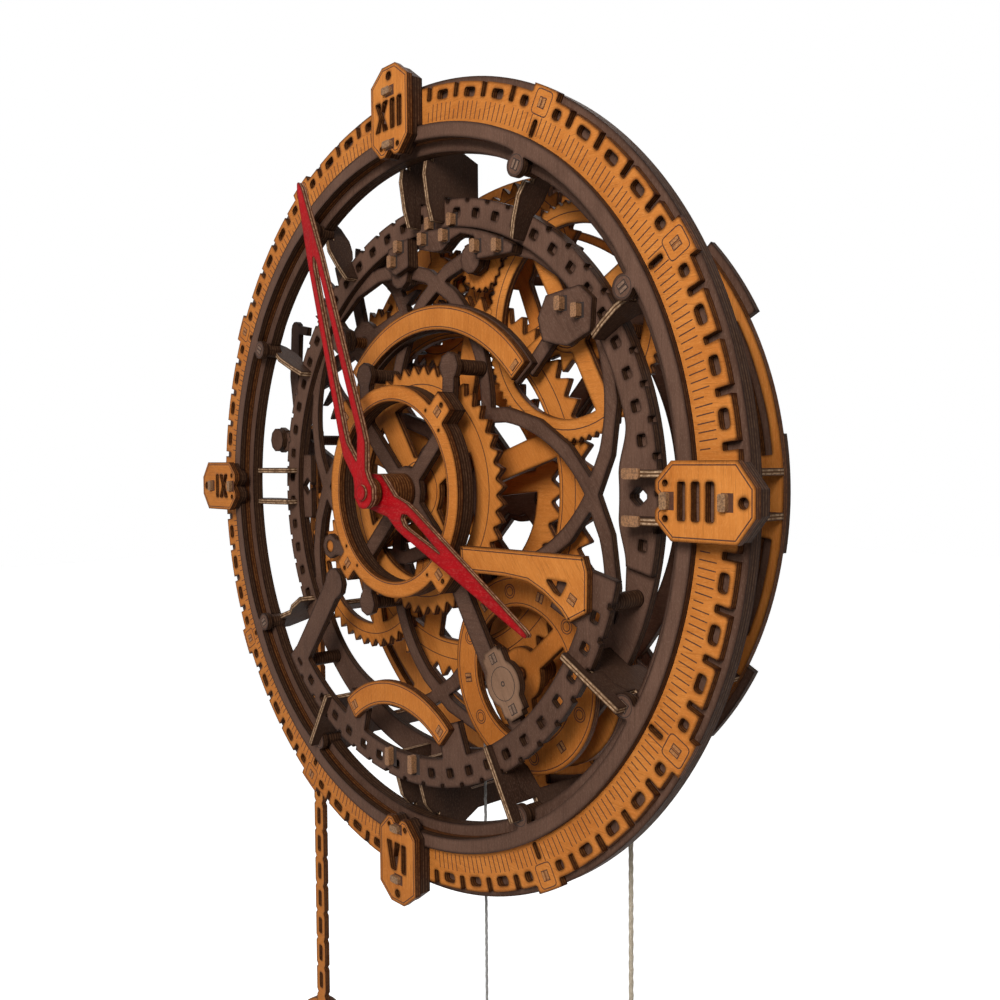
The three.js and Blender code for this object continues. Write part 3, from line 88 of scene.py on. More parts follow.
camera = bpy.data.objects.new("camera", bpy.data.cameras.new("camera"))
camera.data.sensor_width = SENSOR_MM
camera.data.lens = LENS_MM
camera.data.clip_start = 0.01
scene.collection.objects.link(camera)
axes = Matrix((CAMERA_RIGHT, CAMERA_UP, CAMERA_BACK)).transposed()
camera.matrix_world = Matrix.Translation(CAMERA_PLACE) @ axes.to_4x4()
scene.camera = camera
print("camera at", tuple(CAMERA_PLACE), "lens", LENS_MM)

# %% [markdown]
# Materials are node trees. The same few steps come back in every tree, so one small helper adds a node,
# sets what is plain on it and links what is another node's output. That keeps each finish below short
# enough to read as a recipe.


# %% Helpers for shader trees
def add_node(tree, kind, inputs=None, **settings):
    made = tree.nodes.new(kind)
    for name, value in settings.items():
        setattr(made, name, value)
    for name, value in (inputs or {}).items():
        if isinstance(value, bpy.types.NodeSocket):
            tree.links.new(value, made.inputs[name])
        else:
            made.inputs[name].default_value = value
    return made


def new_finish(name, roughness):
    finish = bpy.data.materials.new(name)
    finish.use_nodes = True
    shader = finish.node_tree.nodes["Principled BSDF"]
    shader.inputs["Roughness"].default_value = roughness
    return finish, finish.node_tree, shader


def blend_colours(tree, share, first, second):
    mix = add_node(tree, "ShaderNodeMix", {0: share, 6: first, 7: second}, data_type="RGBA")
    return mix.outputs[2]


def figure(tree, operation, first, second=0.5, third=0.5):
    made = add_node(tree, "ShaderNodeMath", {0: first, 1: second, 2: third}, operation=operation)
    return made.outputs[0]


def spread(tree, value, low, high, to_low=0.0, to_high=1.0):
    ends = {"Value": value, "From Min": low, "From Max": high, "To Min": to_low, "To Max": to_high}
    return add_node(tree, "ShaderNodeMapRange", ends).outputs["Result"]


def noise(tree, place, scale, detail=2.0):
    inputs = {"Vector": place, "Scale": scale, "Detail": detail, "Roughness": 0.6}
    return add_node(tree, "ShaderNodeTexNoise", inputs).outputs["Fac"]


def streaks(tree, place, scale, detail):
    stretched = add_node(tree, "ShaderNodeMapping", {"Vector": place, "Scale": scale})
    return noise(tree, stretched.outputs["Vector"], 1.0, detail)


def own_place(tree):
    return add_node(tree, "ShaderNodeTexCoord").outputs["Object"]


print("shader helpers ready")

# %% [markdown]
# Nearly all of the clock is thin plywood. Its faces show long grain, fine pores and a blotchy stain. Its
# cut sides show the plies, browned by the laser. Pictures of wood would do for one view, but here noise in
# the piece's own coordinates gives grain on every side. The side is told from the face by the normal
# against the sheet's own axis, and the ply by the depth along that axis.

# %% Sheet axis and plies
SHEET = 0.003
PLY_STOPS = (0.08, 0.2, 0.34, 0.42, 0.58, 0.66, 0.8, 0.92)


def own_number(tree, name):
    made = add_node(tree, "ShaderNodeAttribute", attribute_type="OBJECT", attribute_name=name)
    return made.outputs["Fac"]


def along_sheet(tree, vector):
    apart = add_node(tree, "ShaderNodeSeparateXYZ", {"Vector": vector})
    total = 0.0
    for axis in "XYZ":
        share = own_number(tree, "sheet_" + axis.lower())
        total = figure(tree, "MULTIPLY_ADD", apart.outputs[axis], share, total)
    return total


def ply_layers(tree, place, pale, deep, scorch):
    depth = figure(tree, "SUBTRACT", along_sheet(tree, place), own_number(tree, "sheet_front"))
    layer = figure(tree, "FRACT", figure(tree, "DIVIDE", depth, SHEET))
    ramp = add_node(tree, "ShaderNodeValToRGB", {"Fac": layer})
    ramp.color_ramp.elements[0].color = scorch
    ramp.color_ramp.elements[1].color = scorch
    for stop, colour in zip(PLY_STOPS, (deep, pale, pale, deep, deep, pale, pale, deep)):
        ramp.color_ramp.elements.new(stop).color = colour
    return ramp.outputs["Color"]


print("plies at", PLY_STOPS, "of a sheet")

# %% [markdown]
# The finish itself is one recipe. Streaky noises make the grain, the pores and the flecks, and a broad one
# makes the blotches of the stain. A dark scorch runs along every edge, which an occlusion node finds by
# looking inwards. A painted mask could place it by hand, but would have to be made again for each piece.

# %% Stained plywood
GRAIN = (760.0, 760.0, 42.0)
PORES = (2300.0, 2300.0, 130.0)
FLECKS = (1900.0, 1900.0, 800.0)
BLOTCHES = 46.0
SPECKS = 620.0
SCORCH_REACH = 0.0016


def stained_ply(
    name, pale, deep, side_pale, side_deep, scorch, fleck, fleck_share=0.4, scorch_share=0.88, roughness=0.62
):
    finish, tree, shader = new_finish(name, roughness)
    coordinates = add_node(tree, "ShaderNodeTexCoord")
    place = coordinates.outputs["Object"]
    turn = {"Vector": place, "Angle": own_number(tree, "grain_turn")}
    turned = add_node(tree, "ShaderNodeVectorRotate", turn, rotation_type="Y_AXIS").outputs["Vector"]
    grain = streaks(tree, turned, GRAIN, detail=3.0)
    pores = streaks(tree, turned, PORES, detail=2.0)
    blotch = noise(tree, place, BLOTCHES)
    specks = noise(tree, place, SPECKS, detail=3.0)
    stain = figure(tree, "MULTIPLY_ADD", blotch, 0.6, figure(tree, "MULTIPLY", grain, 0.5))
    stain = figure(tree, "ADD", stain, own_number(tree, "stain_shift"))
    face = blend_colours(tree, spread(tree, stain, 0.38, 0.78), deep, pale)
    face = blend_colours(tree, spread(tree, pores, 0.58, 0.74, 0.0, 0.35), face, side_deep)
    flecks = streaks(tree, turned, FLECKS, detail=3.0)
    face = blend_colours(tree, spread(tree, flecks, 0.5, 0.72, 0.0, fleck_share), face, fleck)

    layers = ply_layers(tree, place, side_pale, side_deep, scorch)
    side = blend_colours(tree, spread(tree, specks, 0.34, 0.62, 0.0, 0.8), layers, side_deep)
    facing = figure(tree, "ABSOLUTE", along_sheet(tree, coordinates.outputs["Normal"]))
    colour = blend_colours(tree, figure(tree, "GREATER_THAN", facing, 0.5), side, face)

    reach = {"Distance": SCORCH_REACH}
    inward = add_node(tree, "ShaderNodeAmbientOcclusion", reach, samples=8, inside=True, only_local=True)
    edge = spread(tree, inward.outputs["AO"], 0.5, 0.94, scorch_share, 0.0)
    uneven = figure(tree, "MULTIPLY", edge, spread(tree, blotch, 0.3, 0.65, 0.6, 1.15))
    colour = blend_colours(tree, uneven, colour, scorch)
    tree.links.new(colour, shader.inputs["Base Color"])
    dull = spread(tree, grain, 0.3, 0.7, roughness - 0.08, roughness + 0.1)
    tree.links.new(dull, shader.inputs["Roughness"])
    bump = add_node(tree, "ShaderNodeBump", {"Height": pores, "Strength": 0.35, "Distance": 0.0002})
    tree.links.new(bump.outputs["Normal"], shader.inputs["Normal"])
    shader.inputs["Specular IOR Level"].default_value = 0.08
    return finish


print("recipe for stained plywood ready")

# %% [markdown]
# Each has a pale and a deep tone of stain, two tones for the sides, the scorch and the flecks. One image
# for each would be simpler, but would not follow the grain.

# %% The colours of the sheets
ORANGE = stained_ply(
    "orange_stain",
    pale=(0.68, 0.245, 0.05, 1),
    deep=(0.5, 0.155, 0.026, 1),
    side_pale=(0.24, 0.09, 0.026, 1),
    side_deep=(0.06, 0.019, 0.006, 1),
    scorch=(0.03, 0.007, 0.0015, 1),
    fleck=(0.78, 0.34, 0.1, 1),
    fleck_share=0.3,
    scorch_share=0.92,
    roughness=0.56,
)
BROWN_SIDES = {
    "side_pale": (0.1, 0.05, 0.026, 1),
    "side_deep": (0.034, 0.014, 0.007, 1),
    "scorch": (0.012, 0.005, 0.003, 1),
}
BROWN = stained_ply(
    "brown_stain",
    pale=(0.15, 0.078, 0.052, 1),
    deep=(0.085, 0.042, 0.027, 1),
    fleck=(0.21, 0.13, 0.092, 1),
    **BROWN_SIDES,
)
# The struts stand back in shade between the dial and the wall, and this copy of the brown stain paints that in.
# Its faces are painted much darker than the brown ply, as shade. Its plies are paler: partly their own pale wood,
# partly painted light on their edges.
STRUT_PAINTED_SHADE_AND_LIGHT = stained_ply(
    "brown_stain_painted_shade_and_lit_plies",
    pale=(0.062, 0.031, 0.019, 1),
    deep=(0.031, 0.014, 0.008, 1),
    side_pale=(0.72, 0.47, 0.28, 1),
    side_deep=(0.1, 0.045, 0.02, 1),
    scorch=(0.02, 0.008, 0.004, 1),
    fleck=(0.17, 0.1, 0.07, 1),
    fleck_share=0.35,
    scorch_share=0.6,
)
WORN = stained_ply(
    "worn_brown_stain",
    pale=(0.28, 0.158, 0.096, 1),
    deep=(0.18, 0.096, 0.056, 1),
    fleck=(0.34, 0.2, 0.13, 1),
    **BROWN_SIDES,
)
RED = stained_ply(
    "red_paint",
    pale=(0.5, 0.004, 0.009, 1),
    deep=(0.31, 0.002, 0.005, 1),
    side_pale=(0.6, 0.34, 0.19, 1),
    side_deep=(0.09, 0.03, 0.014, 1),
    scorch=(0.07, 0.003, 0.002, 1),
    fleck=(0.75, 0.25, 0.2, 1),
    fleck_share=0.14,
    scorch_share=0.5,
    roughness=0.5,
)
print("plywood finishes", [finish.name for finish in (ORANGE, BROWN, STRUT_PAINTED_SHADE_AND_LIGHT, WORN, RED)])

# %% [markdown]
# Each piece was cut from its own bit of sheet, so its grain runs its own way and its stain is a little
# paler or deeper. Numbers kept on the object carry that, and the material reads them. The draw is seeded
# and goes through the names in order, so the clock looks the same every time the lesson runs. A strut
# stands on edge, so the axis across its sheet is not the clock's axis.

# %% Give every plywood node its finish
STEEL_NODES = ("hook_left", "hook_right")
CORD_NODES = ("cord_left", "cord_right")
SLOTS = {"orange_ply": ORANGE, "brown_ply": BROWN, "red_ply": RED}
STAIN_SHIFTS = {"dial_ring": -0.05, "drum_disc": -0.16, "plaque_lower": -0.1, "movement_rim": 0.08}
slot_of = {row["node"]: row["material_slot"] for row in frame["record"]["subparts"]}
body_of = {
    name: body for body, members in frame["record"]["behaviour"]["bodies"].items() for name in members
}
SEED = 7
GRAIN_TURNS = (0.0, 90.0, 0.0, 90.0, 35.0)
STAIN_RANGE = 0.08
draw = random.Random(SEED)


def own_numbers(piece, across, front, turn):
    piece["sheet_x"], piece["sheet_y"], piece["sheet_z"] = across
    piece["sheet_front"] = front
    piece["grain_turn"] = turn
    piece["stain_shift"] = draw.uniform(-STAIN_RANGE, STAIN_RANGE)


def finish_of(name):
    if name.startswith("strut_"):
        # struts take the brown stain with painted shade on its faces and painted light on its plies
        return STRUT_PAINTED_SHADE_AND_LIGHT
    return WORN if name == "drum_cap" else SLOTS[slot_of[name]]


def strut_angle(name):
    return math.radians(30.0 * int(name.split("_")[1].rstrip("ab")))


for name in sorted(nodes):
    if name in STEEL_NODES + CORD_NODES:
        continue
    piece = nodes[name]
    if name.startswith("strut_"):
        clock = strut_angle(name)
        across = (math.cos(clock), 0.0, -math.sin(clock))
        front = min(vertex.co.dot(Vector(across)) for vertex in piece.data.vertices)
        own_numbers(piece, across, front, -clock)
    else:
        turn = math.radians(draw.choice(GRAIN_TURNS))
        own_numbers(piece, (0.0, 1.0, 0.0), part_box(name)[0].y, turn)
    if name in STAIN_SHIFTS:
        piece["stain_shift"] = STAIN_SHIFTS[name]
    piece.data.materials.clear()
    piece.data.materials.append(finish_of(name))
print("dressed", len(nodes) - len(STEEL_NODES + CORD_NODES), "plywood nodes")

# %% [markdown]
# Most new pieces are built as a bmesh, because it lets a loop add points and faces one by one. This helper
# turns such a mesh into an object with a finish, shaded smooth but for its sharp edges. The thread's finish
# is fibre noise, drawn out along the cord, with a little sheen.

# %% From points to a piece, and thread
FIBRES = (2600.0, 2600.0, 900.0)
FINE_BUMP = 0.0001
SHARP_EDGE = 30


def finished_mesh(name, mesh, finish, sharp=SHARP_EDGE):
    bmesh.ops.recalc_face_normals(mesh, faces=mesh.faces)
    data = bpy.data.meshes.new(name)
    mesh.to_mesh(data)
    mesh.free()
    data.polygons.foreach_set("use_smooth", [True] * len(data.polygons))
    if sharp:
        data.set_sharp_from_angle(angle=math.radians(sharp))
    data.materials.append(finish)
    made = bpy.data.objects.new(name, data)
    scene.collection.objects.link(made)
    return made


def show_grain(tree, shader, grain, deep, pale, span, strength):
    colour = blend_colours(tree, spread(tree, grain, *span), deep, pale)
    tree.links.new(colour, shader.inputs["Base Color"])
    bump = add_node(tree, "ShaderNodeBump", {"Height": grain, "Strength": strength, "Distance": FINE_BUMP})
    tree.links.new(bump.outputs["Normal"], shader.inputs["Normal"])


def thread_finish(name, pale, deep):
    finish, tree, shader = new_finish(name, roughness=0.85)
    fibre = streaks(tree, own_place(tree), FIBRES, detail=2.0)
    show_grain(tree, shader, fibre, deep, pale, span=(0.3, 0.7), strength=0.4)
    shader.inputs["Sheen Weight"].default_value = 0.25
    return finish


GREY_THREAD = thread_finish("grey_thread", (0.42, 0.41, 0.39, 1), (0.2, 0.19, 0.18, 1))
BEIGE_THREAD = thread_finish("beige_thread", (0.62, 0.54, 0.42, 1), (0.36, 0.29, 0.2, 1))
print("threads", GREY_THREAD.name, BEIGE_THREAD.name)

# %% [markdown]
# The two cords hang from the sides of the drum and are held taut from below. A curve with a round bevel
# would be quick, but thread is laid up from strands. So each cord is a mesh tube that follows its route,
# with a section of three lobes that turns as it goes down. Each ends in its steel eye.

# %% Cords
LAY_PITCH = 0.0055
RINGS_PER_PITCH = 14
LOBES = 3
LOBE_SHARE = 0.12
ROUND_STEPS = 12
ROUTE_POINTS = 16
DRUM_X = 0.06199
DRUM_Z = -0.07949


def straight_down(x, y, top, low):
    step = (top - low) / (ROUTE_POINTS - 1)
    return [Vector((x, y, top - step * index)) for index in range(ROUTE_POINTS)]


def bridge(mesh, near, far):
    """Quads that join two closed rows of points."""
    for k in range(len(near)):
        after = (k + 1) % len(near)
        mesh.faces.new((near[k], far[k], far[after], near[after]))


def laid_cord(name, route, radius, finish):
    mesh = bmesh.new()
    length = route[0].z - route[-1].z
    rings = max(2, int(length / LAY_PITCH * RINGS_PER_PITCH))
    before = None
    for index in range(rings + 1):
        down = length * index / rings
        turn = 2 * math.pi * down / LAY_PITCH / LOBES
        round_here = []
        for step in range(ROUND_STEPS):
            angle = 2 * math.pi * step / ROUND_STEPS
            out = radius * (1 - LOBE_SHARE + LOBE_SHARE * math.cos(LOBES * (angle - turn)))
            place = Vector((out * math.cos(angle), out * math.sin(angle), -down))
            round_here.append(mesh.verts.new(route[0] + place))
        if before:
            bridge(mesh, before, round_here)
        else:
            mesh.faces.new(round_here)
        before = round_here
    mesh.faces.new(list(reversed(before)))
    return finished_mesh(name, mesh, finish, sharp=None)


for side, x, y, low, diameter, finish, slot in (
    ("left", DRUM_X - 0.04495, -0.044, -0.252, 0.0015, GREY_THREAD, "grey_cord"),
    ("right", DRUM_X + 0.0453, -0.042, -0.224, 0.0022, BEIGE_THREAD, "cord"),
):
    route = straight_down(x, y, DRUM_Z, low)
    cord = laid_cord("thread_" + side, route, diameter / 2, finish)
    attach(cord, "frame")
    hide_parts("cord_" + side)
    print("cord", side, "length", round(route[0].z - route[-1].z, 4))

# %% [markdown]
# CAD gives circles as a few straight chords, which show as corners on a large ring. A subdivision modifier
# would round the corners that have to stay sharp as well. So the outline of each plate is read back from
# its front face as closed loops of points, and the loops are worked on instead. Depths are in millimetres
# behind the face of the dial.

# %% Read outlines from a plate
MM = 1000.0
WALL_DEPTH = 76.0
SAME_LEVEL = 2e-5
FACING = 0.99


def level(depth):
    return (depth - WALL_DEPTH) / MM


def face_edges(node, y, way):
    found = set()
    mesh = nodes[node].data
    for polygon in mesh.polygons:
        if polygon.normal.y * way > FACING and abs(polygon.center.y - y) < SAME_LEVEL:
            corners = [mesh.vertices[index].co for index in polygon.vertices]
            keys = [(round(corner.x, 6), round(corner.z, 6)) for corner in corners]
            for start, end in zip(keys, keys[1:] + keys[:1]):
                if (end, start) in found:
                    found.remove((end, start))
                else:
                    found.add((start, end))
    return found


def face_loops(node, depth, way=-1):
    following = {}
    for start, end in sorted(face_edges(node, level(depth), way)):
        following.setdefault(start, []).append(end)
    loops = []
    while following:
        first = min(following)
        loop = [first]
        here = following[first].pop()
        while here != first:
            loop.append(here)
            here = following[here].pop()
        following = {start: ends for start, ends in following.items() if ends}
        loops.append([Vector(point) for point in loop])
    return loops


print("dial ring loops", len(face_loops("dial_ring", 0.0)))

# %% [markdown]
# First the arcs are found. Where four points in a row turn gently and evenly they lie on one circle, and
# the chord next to an arc may belong to it too. Two points that are as far from a known centre, such as the
# middle of the dial, lie on a ring about it. A bevel modifier could round edges, but not tell an arc from a
# corner.

# %% Find the arcs in a loop
LEAST_TURN = 0.003
MOST_TURN = 0.6
UNEVEN_STEPS = 1.5
CENTRES_APART = 0.02
LARGEST_ARC = 0.4
RADII_APART = 0.004
LONGEST_CHORD = 1.2
HINT_ERROR = 2e-5
HINT_CHORD = 0.0035
NO_TURN = 1e-12


def turn_at(before, here, after):
    first, second = here - before, after - here
    return math.atan2(first.x * second.y - first.y * second.x, first.dot(second))


def circle_through(a, b, c):
    ab, ac = b - a, c - a
    cross = 2 * (ab.x * ac.y - ab.y * ac.x)
    if abs(cross) < NO_TURN:
        return None
    x = (ac.y * ab.length_squared - ab.y * ac.length_squared) / cross
    y = (ab.x * ac.length_squared - ac.x * ab.length_squared) / cross
    return a + Vector((x, y))


def arc_centres(loop, hints):
    count = len(loop)

    def at(index):
        return loop[index % count]

    def on_circle(i, centre):
        start, end = (at(i) - centre).length, (at(i + 1) - centre).length
        return start, abs(start - end), (at(i + 1) - at(i)).length

    turns = [turn_at(at(i - 1), at(i), at(i + 1)) for i in range(count)]
    rounds = [circle_through(at(i - 1), at(i), at(i + 1)) for i in range(count)]
    centres = [None] * count
    for i in range(count):
        j = (i + 1) % count
        gentle = all(LEAST_TURN < abs(turn) < MOST_TURN for turn in (turns[i], turns[j]))
        one_way = turns[i] * turns[j] > 0
        steps = sorted((at(i + k + 1) - at(i + k)).length for k in (-1, 0, 1))
        even = steps[2] < UNEVEN_STEPS * steps[0]
        if gentle and one_way and even and rounds[i] and rounds[j]:
            radius = (rounds[i] - at(i)).length
            if (rounds[i] - rounds[j]).length < CENTRES_APART * radius and radius < LARGEST_ARC:
                centres[i] = (rounds[i] + rounds[j]) / 2
    for way in (1, -1):
        for i in range(count):
            near = centres[(i + way) % count]
            if centres[i] is None and near:
                radius, error, chord = on_circle(i, near)
                if error < RADII_APART * radius and chord < LONGEST_CHORD * radius:
                    centres[i] = near
    for i in range(count):
        for hint in hints:
            _, error, chord = on_circle(i, hint)
            if centres[i] is None and error < HINT_ERROR and chord > HINT_CHORD:
                centres[i] = hint
    return centres, turns


print("arcs turn less than", MOST_TURN, "radians at a point")

# %% [markdown]
# Then the loop is drawn again. A chord of an arc is broken into short steps along it, and a corner between
# two straight edges gets the small radius that the laser leaves. Drilled holes become true circles. A
# subdivided curve would need its handles set one by one.

# %% Round the arcs and corners
ARC_ERROR = 0.00002
CORNER = 0.0003
HOLE_CORNER = 0.0007
DIAL_HOLE_CORNER = 0.0014
TOOTH_CORNER = 0.0009
SHARP_TURN = 0.5
MOST_TRIM = 0.4
CORNER_SHARES = (0.0, 0.33, 0.67, 1.0)
SMALL_HOLE = 0.013
PIN_HOLE = 0.0039
ROUND_ENOUGH = 1.03
FEW_POINTS = 5


def arc_points(start, end, centre):
    radius = (start - centre).length
    first = math.atan2(start.y - centre.y, start.x - centre.x)
    swing = math.atan2(end.y - centre.y, end.x - centre.x) - first
    swing = (swing + math.pi) % (2 * math.pi) - math.pi
    step = 2 * math.acos(max(0.0, 1 - ARC_ERROR / radius))
    count = max(1, math.ceil(abs(swing) / step))
    return [
        centre + radius * Vector((math.cos(first + swing * k / count), math.sin(first + swing * k / count)))
        for k in range(1, count)
    ]


def rounded(loop, hints, corner):
    centres, turns = arc_centres(loop, hints)
    count = len(loop)
    made = []
    for i in range(count):
        before, here, after = loop[i - 1], loop[i], loop[(i + 1) % count]
        straight = centres[i] is None and centres[i - 1] is None
        if straight and abs(turns[i]) > SHARP_TURN:
            back, ahead = before - here, after - here
            trim = corner * math.tan(abs(turns[i]) / 2)
            trim = min(trim, MOST_TRIM * back.length, MOST_TRIM * ahead.length)
            start, end = here + back.normalized() * trim, here + ahead.normalized() * trim
            for share in CORNER_SHARES:
                made.append(start * (1 - share) ** 2 + here * 2 * share * (1 - share) + end * share**2)
        else:
            made.append(here)
        if centres[i] is not None:
            made.extend(arc_points(here, after, centres[i]))
    return made


def loop_size(loop):
    xs, zs = [point.x for point in loop], [point.y for point in loop]
    return max(max(xs) - min(xs), max(zs) - min(zs))


def signed_area(loop):
    return sum(a.x * b.y - a.y * b.x for a, b in zip(loop, loop[1:] + loop[:1])) / 2


def ring(x, z, radius, steps=36):
    angles = [2 * math.pi * k / steps for k in range(steps)]
    return [Vector((x + radius * math.cos(angle), z + radius * math.sin(angle))) for angle in angles]


def smoothed(loop, hints, corner=CORNER, hole_corner=HOLE_CORNER):
    small = loop_size(loop) < SMALL_HOLE and signed_area(loop) < 0
    middle = sum(loop, Vector((0, 0))) / len(loop)
    reach = sorted((point - middle).length for point in loop)
    drilled = len(loop) > FEW_POINTS and reach[-1] < ROUND_ENOUGH * reach[0]
    pin = len(loop) <= FEW_POINTS and loop_size(loop) < PIN_HOLE
    if small and (drilled or pin):
        return ring(middle.x, middle.y, math.sqrt(-signed_area(loop) / math.pi), 24)[::-1]
    return rounded(loop, [], hole_corner) if small else rounded(loop, hints, corner)


print("rounding ready, arcs within", ARC_ERROR * 1e6, "micrometres")

# %% [markdown]
# With smooth loops in hand, the plates can be cut again. A table says where the sheets of each node lie:
# the depth of the front and the thickness, in millimetres. Arbors and bosses have a table of radius, start
# and end, and a pipe its bore too. Posts have one of place, start and radius. All this could be read from
# the meshes, but a table is easier to check against the clock.

# %% Where the sheets lie
QUARTERS = (12, 3, 6, 9)
PLATES = {
    "dial_ring": [(0, 3)],
    "backing_ring": [(3, 6), (0, 9)],
    "bezel_ring": [(-3, 3)],
    "movement_rim": [(15, 3), (12, 4)],
    "lower_arc": [(-5, 3)],
    "movement_plate": [(9, 4), (12, 3), (15, 3)],
    "bridge_plate": [(-2, 3)],
    "bridge_ring": [(-8, 6)],
    "centre_trim": [(-11, 3)],
    "drum_cap": [(-5, 3)],
    "plaque_upper": [(12, 3)],
    "plaque_right": [(-8, 3)],
    "plaque_lower": [(-8, 3)],
    "drum_disc": [(14, 3)],
    "back_ring": [(70, 3)],
    "back_plate": [(70, 3)],
    "rear_frame": [(73, 3)],
    "centre_wheel": [(26, 3)],
    "escape_wheel": [(31, 3)],
    "escape_arbor": [(40, 3)],
    "pendulum_rod": [(40, 3)],
    "pendulum_bob": [(43, 6)],
    "hour_hand": [(-19, 3)],
    "minute_hand": [(-26, 3)],
    "hour_wheel": [(6, 3)],
    "motion_wheel": [(22, 3), (6, 3)],
    "third_wheel": [(22, 3), (26, 3)],
    "fourth_wheel": [(22, 3), (45, 3)],
    "fifth_wheel": [(40, 3), (45, 3)],
    "centre_arbor": [(22, 3), (42, 3)],
    "drum_core": [(42, 3)],
    "anchor": [(31, 3)],
}
for quarter in QUARTERS:
    PLATES[f"numeral_plate_{quarter}"] = [(-9, 3)]
MOVEMENT_FRONT = 18
MOVEMENT_BACK = 21
ARBOR = (3.0, 18.3, 72.7)
ROUNDS = {
    "hour_wheel": [(5.5, -16, 9, 3.05), (8.5, -16, -3, 3.05)],
    "motion_wheel": [(3.0, -1.7, 25)],
    "third_wheel": [ARBOR, (6.0, 24.5, 26.5)],
    "fourth_wheel": [ARBOR],
    "fifth_wheel": [ARBOR],
    "escape_arbor": [ARBOR, (6.0, 34, 40.5)],
    "anchor": [ARBOR, (7.0, 33.5, 40)],
    "centre_arbor": [(3.0, -23, 72.7), (6.5, -23, -20), (6.0, 24.5, 29.5), (9.0, 29, 42.5)],
    "drum_core": [(3.0, -1.7, 72.7), (8.0, 17, 24), (4.5, 17, 31.5), (43.9, 31, 41), (20.0, 40, 42.5)],
    "minute_hand": [(3.6, -27.5, -25.5)],
}
POSTS = {
    "bridge_plate": [(32.7, 56.3, 1, 3.5), (-32.7, 56.3, 1, 3.5), (-32.7, -56.3, 1, 3.5)],
    "lower_arc": [(124.11, -40.33, -2, 3.5), (-90.65, -93.87, -2, 3.5)],
    "movement_plate": [(83.2, 72.6, 14.5, 10.0)],
}
print("plates", len(PLATES), "with rounds on", len(ROUNDS))

# %% [markdown]
# A face with holes is filled by a constrained triangulation, which keeps every edge of its loops. The back
# is the same face a sheet lower, and a band of quads joins the two. A filled curve would look the same, but
# gives no say in which holes belong to which outline.

# %% Fill a face and give it thickness
SAME_POINT = 1e-9


def inside(point, loop):
    within = False
    for a, b in zip(loop, loop[1:] + loop[:1]):
        if (a.y > point.y) != (b.y > point.y):
            if point.x < (b.x - a.x) * (point.y - a.y) / (b.y - a.y) + a.x:
                within = not within
    return within


def fill(loops):
    """Triangles of a face with holes, as numbers into its loops laid end to end."""
    flat = [point for loop in loops for point in loop]
    edges, start = [], 0
    for loop in loops:
        count = len(loop)
        edges += [(start + k, start + (k + 1) % count) for k in range(count)]
        start += count
    places, _, triangles, origins, _, _ = delaunay_2d_cdt(flat, edges, [], 0, SAME_POINT)
    kept = []
    for corners in triangles:
        middle = sum((places[index] for index in corners), Vector((0, 0))) / 3
        if sum(inside(middle, loop) for loop in loops) == 1:
            kept.append(tuple(origins[index][0] for index in corners))
    return kept


def points_at(mesh, loop, y):
    return [mesh.verts.new((point.x, y, point.y)) for point in loop]


def prism(mesh, loops, front, thick):
    pairs = [(points_at(mesh, loop, front), points_at(mesh, loop, front + thick)) for loop in loops]
    fronts = [vertex for near, _ in pairs for vertex in near]
    backs = [vertex for _, far in pairs for vertex in far]
    for a, b, c in fill(loops):
        mesh.faces.new((fronts[a], fronts[b], fronts[c]))
        mesh.faces.new((backs[c], backs[b], backs[a]))
    for near, far in pairs:
        bridge(mesh, near, far)


def outlines_first(loops):
    """Groups each outline with the holes inside it, so that pieces apart from each other fill apart."""
    groups = [[loop] for loop in loops if signed_area(loop) > 0]
    for hole in (loop for loop in loops if signed_area(loop) < 0):
        homes = [group for group in groups if inside(hole[0], group[0])]
        min(homes, key=lambda group: signed_area(group[0])).append(hole)
    return groups


print("a sheet is", SHEET * MM, "mm thick")

# %% [markdown]
# At three o'clock the rim swells towards the middle into a seat for two tenons, with a lozenge hole in
# place of two square ones. The swell could be modelled by hand, but a rule on the points of the loop does
# the same for the rim and for the plate behind it, so the two edges meet.

# %% Seat at three o'clock
RIM_EDGE = 0.124
SEAT_LEFT = 0.112
SEAT_RIGHT = 0.1255
SEAT_DEEP = 0.0066
SEAT_FLAT = 0.008
SEAT_REACH = 0.03
SEAT_STEPS = 44
SEATS = {
    ("movement_rim", 15): (0.03, 0.0273, 0.0002),
    ("movement_plate", MOVEMENT_BACK): (0.018, 0.018, 0.0025),
}
SPARE_HOLES = 0.0125
LOZENGE_PLACE = 0.1272
LOZENGE_SIDE = ((1, 3.6), (4.2, 0.8), (4.2, -0.8), (1, -3.6))
LOZENGE_CORNERS = LOZENGE_SIDE + tuple((-x, -z) for x, z in LOZENGE_SIDE)
LOZENGE = [Vector((LOZENGE_PLACE + x / MM, z / MM)) for x, z in LOZENGE_CORNERS]


def spare_hole(loop):
    return all(point.x > SEAT_LEFT and abs(point.y) < SPARE_HOLES for point in loop)


def seat_point(z):
    share = min(1.0, max(0.0, (SEAT_REACH - abs(z)) / (SEAT_REACH - SEAT_FLAT)))
    radius = RIM_EDGE - SEAT_DEEP * share * share * (3 - 2 * share)
    return Vector((math.sqrt(radius * radius - z * z), z))


def seated(loop, upper, lower, margin):
    gone = [
        SEAT_LEFT < point.x < SEAT_RIGHT and -lower - margin < point.y < upper + margin for point in loop
    ]
    if not any(gone):
        return loop
    first = next(k for k in range(len(loop)) if gone[k] and not gone[k - 1])
    turned = loop[first:] + loop[:first]
    old, rest = turned[: sum(gone)], turned[sum(gone) :]
    edge = [seat_point(upper - (upper + lower) * k / SEAT_STEPS) for k in range(SEAT_STEPS + 1)]
    return (edge if old[0].y > old[-1].y else edge[::-1]) + rest


print("the seat reaches in by", SEAT_DEEP * MM, "mm")

# %% [markdown]
# Two more outlines are eased by such a rule. The ears of the rear frame are drawn in, and the hands become
# slimmer towards their tips, with the hub left as it is. Scaling the pieces instead would spoil their
# holes.

